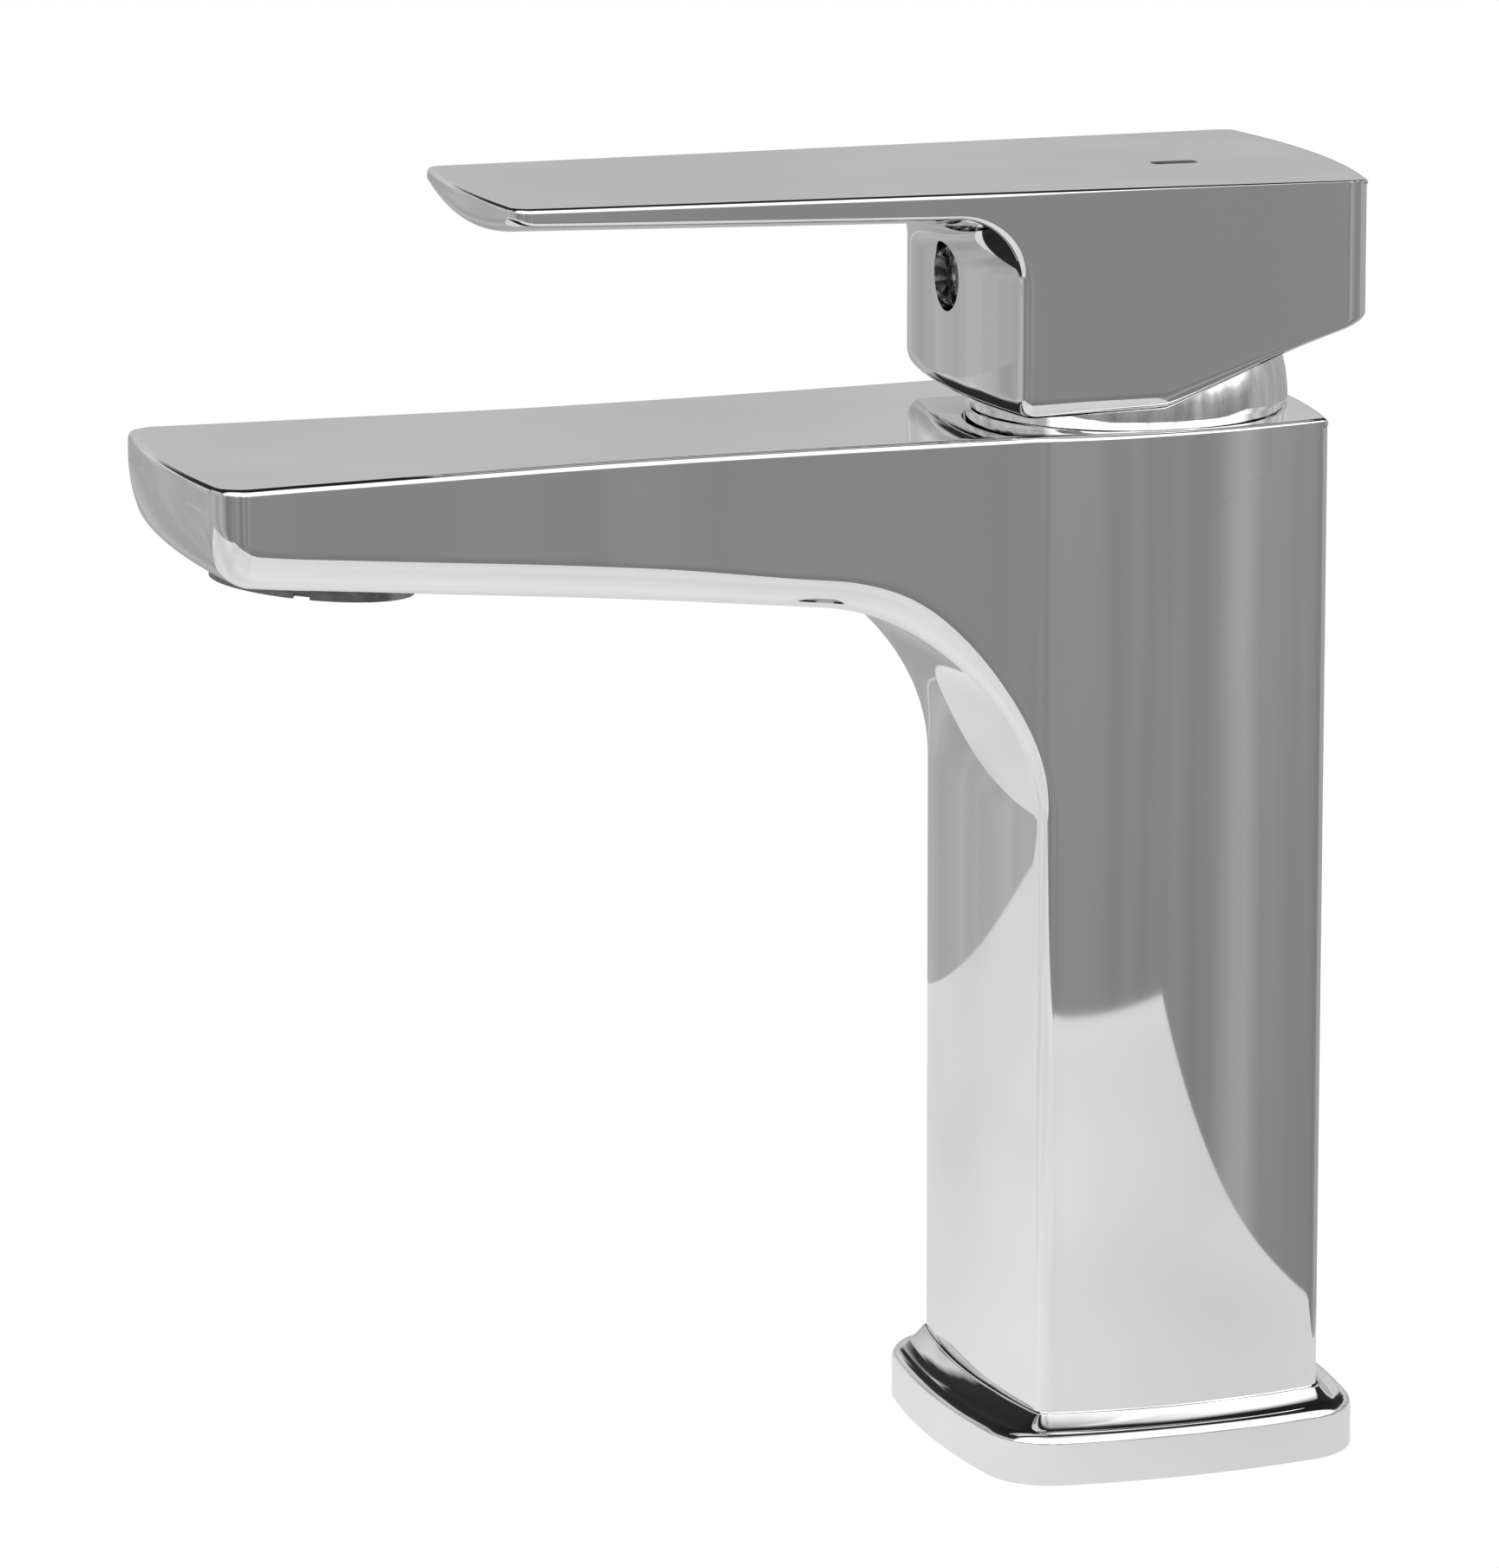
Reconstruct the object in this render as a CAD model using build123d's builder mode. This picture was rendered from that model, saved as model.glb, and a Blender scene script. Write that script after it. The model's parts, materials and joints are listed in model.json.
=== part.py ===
from build123d import *
import os
from math import cos, radians, sin, sqrt, tan

# Single-lever basin mixer. Millimetres, +Z up, origin at the centre of the base on the deck.
# The spout and the lever point towards -Y. X is the mirror direction.

# Heights and depths of the pieces above the base are measured from the column's top.

# ---- driving sizes: casting ----
column_half_x = 23.15        # column, middle of each side face
column_half_y = 20.8         # column, middle of the front and back faces
column_bow = 2.1             # how far each column face is lower at its corners
column_corner_radius = 1.7
body_top_z = 132.5
foot_z = 4.5                 # underside of the column, on the floor of the flange
spout_tip_y = -124.8         # middle of the tip face
spout_tip_half_width = 22.7
spout_tip_bow = 1.2
spout_tip_corner_radius = 4.6
spout_waist_y = -62.0
spout_waist_half_width = 19.6
spout_root_y = -22.0
spout_root_half_width = 21.4
spout_tip_depth = 13.0       # underside below the top face at the tip
spout_slope = 5.9            # degrees, the underside falls towards the column
spout_tip_curve_radius = 17.0
spout_tip_upright = 3.2      # upright stretch of the tip face under the top edge
spout_tip_curve_lead = 0.1   # the curve starts this far ahead of the bowed tip face
spout_bend_radius = 28.0
spout_lower_radius = 4.4     # rounding along both lower edges of the spout
top_edge_radius = 0.8

# ---- driving sizes: base ----
flange_half_x = 26.3
flange_half_y = 25.8
flange_bow = 2.5
flange_corner_radius = 9.0
flange_flat_z = 6.7
flange_skirt_z = 8.4
flange_skirt_width = 2.3
flange_rim_width = 0.5       # top of the skirt round the column
flange_edge_radius = 1.4
flange_opening_radius = 15.0
foot_clearance = 0.08
gasket_width = 3.0
gasket_thickness = 2.0
gasket_inset = 3.2           # from the flange's edge to the gasket
gasket_clearance = 0.1

# ---- driving sizes: cartridge and its chamber ----
pivot_height = 0.5           # tilt axis of the lever
chamber_depth = 22.5
housing_radius = 12.5
housing_wall = 1.2
chamber_gap = 0.1            # radial room round the housing
base_height = 4.5
disc_thickness = 3.0
disc_gap = 0.15              # radial room between the fixed disc and the housing
moving_disc_gap = 0.5        # radial room between the slid disc and the housing
cavity_rim = 1.3             # disc left round the mixing hollow under the moving disc
cavity_half_width = 5.9
cavity_front_y = -3.6
cavity_back_y = 6.0
cavity_depth = 1.6
carrier_height = 3.6
guide_half_spacing = 6.0     # two ribs of the rotor run in grooves of the carrier
guide_width = 1.6
guide_height = 1.2
guide_gap = 0.15
guide_end_room = 1.0         # from the rotor's ribs to the housing
rotor_floor_gap = 0.3
rotor_flange_height = 3.2
rotor_neck_radius = 7.2
rotor_neck_height = 4.5
rotor_clearance = 0.1
housing_lid = 1.2
housing_neck_radius = 9.0
housing_neck_height = 2.5
nut_radius = 15.0
nut_height = 4.0
nut_clearance = 0.15
nut_chamfer = 0.4
nut_notch_width = 4.0
nut_notch_depth = 2.2
nut_notch_count = 4
inlet_port_radius = 1.8
inlet_port_x = 4.0
inlet_port_y = -3.6
outlet_port_radius = 2.6
outlet_port_y = 4.6
port_seal_width = 1.3
port_seal_height = 1.6
port_seal_gap = 0.05
limit_ring_height = 1.6
limit_ring_radius = 11.6
limit_gap_width = 6.0

# ---- driving sizes: stem and pin ----
stem_width = 5.0
stem_height = 23.5
stem_ball_depth = 1.5        # centre of the stem's ball below the carrier's top face
stem_ball_radius = 1.4
stem_tail_radius = 1.1
stem_chamfer = 0.4
ball_socket_gap = 0.15
ball_socket_floor_gap = 0.2
stem_side_clearance = 0.15
pin_radius = 1.25
pin_clearance = 0.03
pin_half_length = 6.9
lift_max = 22.0              # degrees

# ---- driving sizes: dome collar and its boss ----
dome_radius = 20.1
dome_wall = 2.3
dome_height = 11.5
dome_rim_radius = 0.5
neck_radius = 19.5
neck_height = 0.6
boss_radius = 16.9
boss_height = 4.6
boss_clearance = 0.12
oring_width = 1.1
oring_height = 1.3
oring_gap = 0.05

# ---- driving sizes: lever ----
lever_top_height = 29.95     # top face above the tilt axis
lever_top_slope = 0.7        # degrees, the top face rises towards the tip
lever_tip_y = -86.6
lever_tip_half_width = 18.9
lever_tip_bow = 1.1
lever_tip_corner_radius = 2.6
lever_edge_thickness = 2.1   # side of the blade at the tip
lever_belly = 2.7            # extra depth along the middle of the blade
lever_belly_trim = 0.4       # cut away from the blade's underside by the round belly
lever_blade_slope = 1.9      # degrees, the underside falls towards the head
lever_tip_upright = 1.6      # upright stretch of the blade's front edge
lever_tip_curl = 3.2         # run of the rounding under it
lever_waist_half_width = 21.3
lever_waist_y = -22.0
head_front_y = -24.0
head_front_bow = 2.5
head_half_width = 22.5
head_back_y = 25.6
head_back_bow = 2.6
head_back_half_width = 22.6
head_back_corner_radius = 3.4
head_bottom_height = 2.1
head_side_height = 4.7
head_relief_y = -3.0         # where the sloping rear underside begins
head_relief_slope = 17.0     # degrees
cove_radius = 5.5
lever_blank_half_width = 24.0
lever_edge_radius = 0.6
dome_gap = 0.5               # between the dome and the hollow head
stem_boss_radius = 8.0
stem_boss_height = 14.5
stem_socket_clearance = 0.05
screw_height = 16.8
screw_hole_radius = 4.3
screw_seat_depth = 6.0
screw_radius = 2.5
screw_clearance = 0.1
screw_key_radius = 1.3
screw_key_depth = 2.2
screw_length = 10.0
screw_chamfer = 0.5
cap_recess = 1.4             # the cap's crown behind the head's front face
cap_thickness = 2.4
cap_crown = 0.8
mark_length = 6.0
mark_width = 2.0
mark_depth = 0.8
mark_clearance = 0.02
mark_x = 2.8
mark_y = 5.0

# ---- driving sizes: aerator ----
aerator_y = -105.5
aerator_radius = 12.0
aerator_bore_clearance = 0.1
aerator_depth = 7.0          # how far the housing goes into the spout
aerator_lip = 1.3            # how far it stands out
aerator_lip_radius = 12.6
aerator_wall = 1.5
aerator_ledge = 1.0
aerator_notch_width = 2.0
aerator_notch_count = 4
aerator_notch_turn = -22.0
aerator_notch_depth = 0.7
aerator_seal_height = 1.5
aerator_insert_gap = 0.1
aerator_insert_height = 4.6
aerator_screen_height = 1.2
aerator_hole_radius = 0.75
screen_hole_radius = 0.8

# ---- driving sizes: water ways and deck interfaces ----
inlet_thread_radius = 4.6    # M10x1 hole as modelled
inlet_spacing = 16.0
inlet_row_y = 3.0
stud_thread_radius = 3.4     # M8 hole as modelled
stud_thread_length = 18.0
stud_y = -9.0
way_wall = 3.4               # casting wall round the two upright water chambers
way_web = 5.0                # wall between them
way_bottom_z = 26.0
way_top_depth = 40.5
way_corner_radius = 3.0
spout_way_radius = 2.7
spout_way_start_depth = 32.9
spout_way_bend_y = -44.0     # the way steepens behind this place, over the bend of the underside
spout_way_bend_depth = 15.3
aerator_pool_radius = 9.0
aerator_pool_height = 2.6

# ---- sizes that follow ----
pivot_z = body_top_z + pivot_height
chamber_floor_z = body_top_z - chamber_depth
rotor_neck_top_z = body_top_z + rotor_neck_height
housing_neck_top_z = body_top_z + housing_neck_height
stem_top_z = body_top_z + stem_height
dome_top_z = body_top_z + dome_height
lever_top_z = body_top_z + lever_top_height
head_bottom_z = body_top_z + head_bottom_height
head_side_z = body_top_z + head_side_height
stem_boss_bottom_z = body_top_z + stem_boss_height
screw_z = body_top_z + screw_height
spout_way_start_z = body_top_z - spout_way_start_depth
spout_way_bend_z = body_top_z - spout_way_bend_depth
way_top_z = body_top_z - way_top_depth
fixed_disc_z = chamber_floor_z + base_height
moving_disc_z = fixed_disc_z + disc_thickness
carrier_z = moving_disc_z + disc_thickness
carrier_top_z = carrier_z + carrier_height
ball_z = carrier_top_z - stem_ball_depth
disc_arm = pivot_z - ball_z                       # tilt axis to the stem's ball
disc_travel = disc_arm * radians(lift_max)
disc_rest_y = disc_travel / 2
rotor_z = carrier_top_z + rotor_floor_gap
rotor_shoulder_z = rotor_z + rotor_flange_height
housing_lid_z = rotor_shoulder_z + rotor_clearance
housing_shoulder_z = housing_lid_z + housing_lid
housing_bore_radius = housing_radius - housing_wall
chamber_radius = housing_radius + chamber_gap
moving_disc_radius = housing_bore_radius - disc_travel / 2 - moving_disc_gap
carrier_radius = moving_disc_radius
cavity_radius = moving_disc_radius - cavity_rim
guide_outer_x = guide_half_spacing + guide_width / 2
guide_length = 2 * (sqrt(housing_bore_radius**2 - guide_outer_x**2) - guide_end_room)
ball_socket_depth = stem_ball_depth + stem_ball_radius + ball_socket_floor_gap
stem_shaft_z = rotor_z + stem_side_clearance
nut_top_z = housing_shoulder_z + nut_height
neck_top_z = body_top_z + neck_height
boss_top_z = neck_top_z + boss_height
dome_inner_radius = dome_radius - dome_wall
head_hollow_radius = dome_radius + dome_gap
spout_fall = tan(radians(spout_slope))
spout_bottom_tip_z = body_top_z - spout_tip_depth
inlet_x = inlet_spacing / 2
lever_rise = tan(radians(lever_top_slope))
blade_fall = tan(radians(lever_blade_slope))

os.makedirs("parts", exist_ok=True)


def save(piece, label):
    piece.part.label = label
    export_step(piece.part, "parts/" + label + ".step")


# closed outline with four bowed faces: middle half sizes, corner drop and corner radius
def bowed_rectangle(half_x, half_y, bow, corner):
    corner_x = half_x - bow
    corner_y = half_y - bow
    with BuildLine() as outline:
        ThreePointArc((corner_x, -corner_y), (half_x, 0), (corner_x, corner_y))
        ThreePointArc((corner_x, corner_y), (0, half_y), (-corner_x, corner_y))
        ThreePointArc((-corner_x, corner_y), (-half_x, 0), (-corner_x, -corner_y))
        ThreePointArc((-corner_x, -corner_y), (0, -half_y), (corner_x, -corner_y))
    with BuildSketch() as sketch:
        add(outline.line)
        make_face()
        fillet(sketch.vertices(), corner)
    return sketch.sketch


# height of the spout's underside at a place along Y
def underside_z(y):
    return spout_bottom_tip_z - spout_fall * (y - spout_tip_y)


# ---- base flange ----
column_outline = bowed_rectangle(column_half_x, column_half_y, column_bow, column_corner_radius)
foot_pocket_outline = bowed_rectangle(
    column_half_x + foot_clearance,
    column_half_y + foot_clearance,
    column_bow,
    column_corner_radius + foot_clearance,
)
skirt_outline = bowed_rectangle(
    column_half_x + flange_skirt_width,
    column_half_y + flange_skirt_width,
    column_bow,
    column_corner_radius + flange_skirt_width,
)
skirt_top_outline = bowed_rectangle(
    column_half_x + foot_clearance + flange_rim_width,
    column_half_y + foot_clearance + flange_rim_width,
    column_bow,
    column_corner_radius + flange_rim_width,
)
flange_outline = bowed_rectangle(flange_half_x, flange_half_y, flange_bow, flange_corner_radius)


# outline a distance in from the flange's edge
def flange_inset(inset):
    return bowed_rectangle(
        flange_half_x - inset,
        flange_half_y - inset,
        flange_bow,
        flange_corner_radius - inset,
    )


with BuildPart() as base_flange:
    with BuildSketch():
        add(flange_outline)
    extrude(amount=flange_flat_z)
    fillet(base_flange.faces().sort_by(Axis.Z)[-1].edges(), flange_edge_radius)
    with BuildSketch(Plane.XY.offset(flange_flat_z)):
        add(skirt_outline)
    with BuildSketch(Plane.XY.offset(flange_skirt_z)):
        add(skirt_top_outline)
    loft()
    with BuildSketch(Plane.XY.offset(foot_z)):
        add(foot_pocket_outline)
    extrude(amount=flange_skirt_z - foot_z, mode=Mode.SUBTRACT)
    with BuildSketch():
        Circle(flange_opening_radius)
    extrude(amount=foot_z, mode=Mode.SUBTRACT)
    with BuildSketch():
        add(flange_inset(gasket_inset))
        add(flange_inset(gasket_inset + gasket_width), mode=Mode.SUBTRACT)
    extrude(amount=gasket_thickness, mode=Mode.SUBTRACT)
save(base_flange, "base_flange")

# ---- base gasket, in the groove under the flange ----
with BuildPart() as base_gasket:
    with BuildSketch():
        add(flange_inset(gasket_inset + gasket_clearance))
        add(flange_inset(gasket_inset + gasket_width - gasket_clearance), mode=Mode.SUBTRACT)
    extrude(amount=gasket_thickness)
save(base_gasket, "base_gasket")


# ---- body casting ----
def spout_plan():
    tip_corner_y = spout_tip_y + spout_tip_bow
    with BuildLine() as plan:
        side = Spline(
            (spout_root_half_width, 0),
            (spout_root_half_width, spout_root_y),
            (spout_waist_half_width, spout_waist_y),
            (spout_tip_half_width, tip_corner_y),
        )
        ThreePointArc(side @ 1, (0, spout_tip_y), (-spout_tip_half_width, tip_corner_y))
        mirror(side, about=Plane.YZ)
        Line((-spout_root_half_width, 0), (spout_root_half_width, 0))
    with BuildSketch() as sketch:
        add(plan.line)
        make_face()
        tip_corners = sketch.vertices().filter_by_position(
            Axis.Y, spout_tip_y, tip_corner_y + spout_tip_bow
        )
        fillet(tip_corners, spout_tip_corner_radius)
    return sketch.sketch


# side view of the spout: X of the sketch is world Y, Y of the sketch is world Z
def spout_side():
    front_y = column_bow - column_half_y
    curve_top_z = body_top_z - spout_tip_upright
    curve_reach = curve_top_z - spout_bottom_tip_z
    curve_back = spout_tip_curve_radius - sqrt(spout_tip_curve_radius**2 - curve_reach**2)
    tip_y = spout_tip_y - spout_tip_curve_lead
    mid_reach = curve_reach / 2
    mid_back = spout_tip_curve_radius - sqrt(spout_tip_curve_radius**2 - mid_reach**2)
    turn = radians(90 - spout_slope)
    tangent = spout_bend_radius * tan(turn / 2)
    corner_z = underside_z(front_y)
    bend_start_y = front_y - tangent * cos(radians(spout_slope))
    bend_start = (bend_start_y, underside_z(bend_start_y))
    bend_end = (front_y, corner_z - tangent)
    with BuildLine() as profile:
        Line((0, body_top_z), (tip_y, body_top_z))
        Line((tip_y, body_top_z), (tip_y, curve_top_z))
        curve = ThreePointArc(
            (tip_y, curve_top_z),
            (tip_y + mid_back, curve_top_z - mid_reach),
            (tip_y + curve_back, spout_bottom_tip_z),
        )
        Line(curve @ 1, bend_start)
        TangentArc(bend_start, bend_end, tangent=(cos(radians(spout_slope)), -sin(radians(spout_slope))))
        Line(bend_end, (0, bend_end[1]))
        Line((0, bend_end[1]), (0, body_top_z))
    with BuildSketch() as sketch:
        add(profile.line)
        make_face()
    return sketch.sketch


way_outline = bowed_rectangle(
    column_half_x - way_wall, column_half_y - way_wall, column_bow, way_corner_radius
)
side_plane = Plane.YZ.offset(-2 * column_half_x)
whole_width = 4 * column_half_x
aerator_plane = Plane(
    origin=(0, aerator_y, underside_z(aerator_y)),
    x_dir=(1, 0, 0),
    z_dir=(0, sin(radians(spout_slope)), cos(radians(spout_slope))),
)
aerator_bore_radius = aerator_radius + aerator_bore_clearance
aerator_seat = aerator_depth + aerator_seal_height
spout_way_start = Vector(0, outlet_port_y, spout_way_start_z)
spout_way_bend = Vector(0, spout_way_bend_y, spout_way_bend_z)
spout_way_end = aerator_plane.offset(aerator_seat + aerator_pool_height / 2).origin

with BuildPart() as body:
    with BuildSketch():
        add(spout_plan())
    extrude(amount=body_top_z)
    with BuildSketch(side_plane):
        add(spout_side())
    extrude(amount=whole_width, mode=Mode.INTERSECT)
    # both lower edges of the spout and the foot of its tip
    lower_edges = body.edges().filter_by_position(
        Axis.Z, 0, body_top_z - spout_tip_upright
    ).filter_by_position(Axis.Y, 2 * spout_tip_y, spout_root_y)
    fillet(lower_edges, spout_lower_radius)
    with BuildSketch(Plane.XY.offset(foot_z)):
        add(column_outline)
    extrude(amount=body_top_z - foot_z)
    top_edges = body.faces().sort_by(Axis.Z)[-1].edges()
    fillet(top_edges, top_edge_radius)
    # neck and threaded boss under the dome
    with BuildSketch(Plane.XY.offset(body_top_z)):
        Circle(neck_radius)
    extrude(amount=neck_height)
    with BuildSketch(Plane.XY.offset(neck_top_z)):
        Circle(boss_radius)
    extrude(amount=boss_height)
    with BuildSketch(Plane.XY.offset(neck_top_z + boss_height / 2 - oring_height / 2)):
        Circle(boss_radius + boss_clearance)
        Circle(boss_radius - oring_width, mode=Mode.SUBTRACT)
    extrude(amount=oring_height, mode=Mode.SUBTRACT)
    # cartridge chamber and the wider bore of its nut
    with BuildSketch(Plane.XY.offset(chamber_floor_z)):
        Circle(chamber_radius)
    extrude(amount=boss_top_z - chamber_floor_z, mode=Mode.SUBTRACT)
    with BuildSketch(Plane.XY.offset(housing_shoulder_z)):
        Circle(nut_radius + nut_clearance)
    extrude(amount=boss_top_z - housing_shoulder_z, mode=Mode.SUBTRACT)
    # hot and cold water chambers, side by side in the column
    with BuildSketch(Plane.XY.offset(way_bottom_z)) as ways:
        add(way_outline)
        Rectangle(way_web, 2 * column_half_y, mode=Mode.SUBTRACT)
        fillet(ways.vertices().filter_by_position(Axis.X, -way_web, way_web), way_corner_radius)
    extrude(amount=way_top_z - way_bottom_z, mode=Mode.SUBTRACT)
    with BuildSketch(Plane.XY.offset(foot_z)):
        with Locations((-inlet_x, inlet_row_y), (inlet_x, inlet_row_y)):
            Circle(inlet_thread_radius)
    extrude(amount=way_bottom_z - foot_z, mode=Mode.SUBTRACT)
    with BuildSketch(Plane.XY.offset(way_top_z)):
        with Locations((-inlet_port_x, inlet_port_y), (inlet_port_x, inlet_port_y)):
            Circle(inlet_port_radius)
    extrude(amount=chamber_floor_z - way_top_z, mode=Mode.SUBTRACT)
    # hole of the fixing stud
    with BuildSketch(Plane.XY.offset(foot_z)):
        with Locations((0, stud_y)):
            Circle(stud_thread_radius)
    extrude(amount=stud_thread_length, mode=Mode.SUBTRACT)
    # mixed water: down from the chamber, then forward along the spout
    with BuildSketch(Plane.XY.offset(spout_way_start_z)):
        with Locations((0, outlet_port_y)):
            Circle(outlet_port_radius)
    extrude(amount=chamber_floor_z - spout_way_start_z, mode=Mode.SUBTRACT)
    for run_start, run_end in ((spout_way_start, spout_way_bend), (spout_way_bend, spout_way_end)):
        with BuildSketch(Plane(origin=run_start, z_dir=run_end - run_start)):
            Circle(spout_way_radius)
        extrude(amount=(run_end - run_start).length, mode=Mode.SUBTRACT)
        with Locations(run_start):
            Sphere(spout_way_radius, mode=Mode.SUBTRACT)
    # aerator seat
    with BuildSketch(aerator_plane.offset(-aerator_lip)):
        Circle(aerator_bore_radius)
    extrude(amount=aerator_lip + aerator_seat, mode=Mode.SUBTRACT)
    with BuildSketch(aerator_plane.offset(aerator_seat)):
        Circle(aerator_pool_radius)
    extrude(amount=aerator_pool_height, mode=Mode.SUBTRACT)
save(body, "body")


# ---- cartridge ----
inlet_ports = ((-inlet_port_x, inlet_port_y), (inlet_port_x, inlet_port_y))


def port_seal(label, x, y, radius):
    with BuildPart() as seal:
        with BuildSketch(Plane.XY.offset(chamber_floor_z)):
            with Locations((x, y)):
                Circle(radius + port_seal_width)
                Circle(radius, mode=Mode.SUBTRACT)
        extrude(amount=port_seal_height)
    save(seal, label)


port_seal("hot_inlet_seal", -inlet_port_x, inlet_port_y, inlet_port_radius)
port_seal("cold_inlet_seal", inlet_port_x, inlet_port_y, inlet_port_radius)
port_seal("outlet_seal", 0, outlet_port_y, outlet_port_radius)

with BuildPart() as cartridge_base:
    with BuildSketch(Plane.XY.offset(chamber_floor_z)):
        Circle(housing_radius)
        with Locations(*inlet_ports):
            Circle(inlet_port_radius, mode=Mode.SUBTRACT)
        with Locations((0, outlet_port_y)):
            Circle(outlet_port_radius, mode=Mode.SUBTRACT)
    extrude(amount=base_height)
    with BuildSketch(Plane.XY.offset(chamber_floor_z)):
        with Locations(*inlet_ports):
            Circle(inlet_port_radius + port_seal_width + port_seal_gap)
        with Locations((0, outlet_port_y)):
            Circle(outlet_port_radius + port_seal_width + port_seal_gap)
    extrude(amount=port_seal_height, mode=Mode.SUBTRACT)
save(cartridge_base, "cartridge_base")

with BuildPart() as fixed_disc:
    with BuildSketch(Plane.XY.offset(fixed_disc_z)):
        Circle(housing_bore_radius - disc_gap)
        with Locations(*inlet_ports):
            Circle(inlet_port_radius, mode=Mode.SUBTRACT)
        with Locations((0, outlet_port_y)):
            Circle(outlet_port_radius, mode=Mode.SUBTRACT)
    extrude(amount=disc_thickness)
save(fixed_disc, "fixed_disc")

with BuildPart() as moving_disc:
    with BuildSketch(Plane.XY.offset(moving_disc_z)):
        with Locations((0, disc_rest_y)):
            Circle(moving_disc_radius)
    extrude(amount=disc_thickness)
    with BuildSketch(Plane.XY.offset(moving_disc_z)):
        with Locations((0, disc_rest_y)):
            Circle(cavity_radius)
        with Locations((0, disc_rest_y + (cavity_front_y + cavity_back_y) / 2)):
            Rectangle(2 * cavity_half_width, cavity_back_y - cavity_front_y, mode=Mode.INTERSECT)
    extrude(amount=cavity_depth, mode=Mode.SUBTRACT)
save(moving_disc, "moving_disc")

with BuildPart() as disc_carrier:
    with BuildSketch(Plane.XY.offset(carrier_z)):
        with Locations((0, disc_rest_y)):
            Circle(carrier_radius)
    extrude(amount=carrier_height)
    # socket of the stem's ball, long in X so that the ball only pushes along Y
    with BuildSketch(Plane.XY.offset(carrier_top_z - ball_socket_depth)):
        socket_width = 2 * (stem_ball_radius + ball_socket_gap)
        Rectangle(socket_width + 2 * ball_socket_gap, socket_width)
    extrude(amount=ball_socket_depth, mode=Mode.SUBTRACT)
    with BuildSketch(Plane.XY.offset(carrier_top_z - guide_height - guide_gap)):
        with Locations((-guide_half_spacing, disc_rest_y), (guide_half_spacing, disc_rest_y)):
            Rectangle(guide_width + 2 * guide_gap, 2 * carrier_radius)
    extrude(amount=guide_height + guide_gap, mode=Mode.SUBTRACT)
save(disc_carrier, "disc_carrier")

with BuildPart() as cartridge_housing:
    with BuildSketch(Plane.XY.offset(fixed_disc_z)):
        Circle(housing_radius)
        Circle(housing_bore_radius, mode=Mode.SUBTRACT)
    extrude(amount=housing_lid_z - fixed_disc_z)
    with BuildSketch(Plane.XY.offset(housing_lid_z)):
        Circle(housing_radius)
        Circle(rotor_neck_radius + rotor_clearance, mode=Mode.SUBTRACT)
    extrude(amount=housing_lid)
    with BuildSketch(Plane.XY.offset(housing_shoulder_z)):
        Circle(housing_neck_radius)
        Circle(rotor_neck_radius + rotor_clearance, mode=Mode.SUBTRACT)
    extrude(amount=housing_neck_top_z - housing_shoulder_z)
save(cartridge_housing, "cartridge_housing")

with BuildPart() as cartridge_nut:
    with BuildSketch(Plane.XY.offset(housing_shoulder_z)):
        Circle(nut_radius)
        Circle(housing_neck_radius + nut_clearance, mode=Mode.SUBTRACT)
    extrude(amount=nut_height)
    with BuildSketch(Plane.XY.offset(nut_top_z - nut_notch_depth)):
        with PolarLocations(nut_radius, nut_notch_count):
            Rectangle(nut_notch_width, nut_notch_width)
    extrude(amount=nut_notch_depth, mode=Mode.SUBTRACT)
    chamfer(cartridge_nut.edges().filter_by(GeomType.CIRCLE).sort_by(Axis.Z)[0], nut_chamfer)
save(cartridge_nut, "cartridge_nut")

with BuildPart() as hot_limit_ring:
    with BuildSketch(Plane.XY.offset(nut_top_z)):
        Circle(limit_ring_radius)
        Circle(housing_neck_radius + nut_clearance, mode=Mode.SUBTRACT)
    extrude(amount=limit_ring_height)
    # gap between the two stops of the ring
    with BuildSketch(Plane.XY.offset(nut_top_z)):
        with Locations((0, limit_ring_radius)):
            Rectangle(limit_gap_width, 2 * (limit_ring_radius - housing_neck_radius))
    extrude(amount=limit_ring_height, mode=Mode.SUBTRACT)
save(hot_limit_ring, "hot_limit_ring")


# side view of the slot in which the stem tilts, from the tilt axis
def stem_slot():
    half = stem_width / 2 + stem_side_clearance
    below = pivot_z - rotor_z + guide_height
    above = rotor_neck_top_z - pivot_z
    lean = tan(radians(lift_max))
    spare = half / cos(radians(lift_max)) + stem_side_clearance
    with BuildLine() as profile:
        Polyline(
            (half, pivot_z - below),
            (-lean * below - spare, pivot_z - below),
            (-spare, pivot_z),
            (-spare, pivot_z + above),
            (lean * above + spare, pivot_z + above),
            (spare, pivot_z),
            close=True,
        )
    with BuildSketch() as sketch:
        add(profile.line)
        make_face()
    return sketch.sketch


with BuildPart() as cartridge_rotor:
    with BuildSketch(Plane.XY.offset(rotor_z)):
        Circle(housing_bore_radius - rotor_clearance)
    extrude(amount=rotor_flange_height)
    with BuildSketch(Plane.XY.offset(rotor_shoulder_z)):
        Circle(rotor_neck_radius)
    extrude(amount=rotor_neck_top_z - rotor_shoulder_z)
    with BuildSketch(Plane.XY.offset(carrier_top_z - guide_height)):
        with Locations((-guide_half_spacing, 0), (guide_half_spacing, 0)):
            Rectangle(guide_width, guide_length)
    extrude(amount=guide_height + rotor_floor_gap)
    slot_half = stem_width / 2 + stem_side_clearance
    with BuildSketch(Plane.YZ.offset(-slot_half)):
        add(stem_slot())
    extrude(amount=2 * slot_half, mode=Mode.SUBTRACT)
    with BuildSketch(Plane.YZ.offset(-rotor_neck_radius)):
        with Locations((0, pivot_z)):
            Circle(pin_radius + pin_clearance)
    extrude(amount=2 * rotor_neck_radius, mode=Mode.SUBTRACT)
save(cartridge_rotor, "cartridge_rotor")

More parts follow.
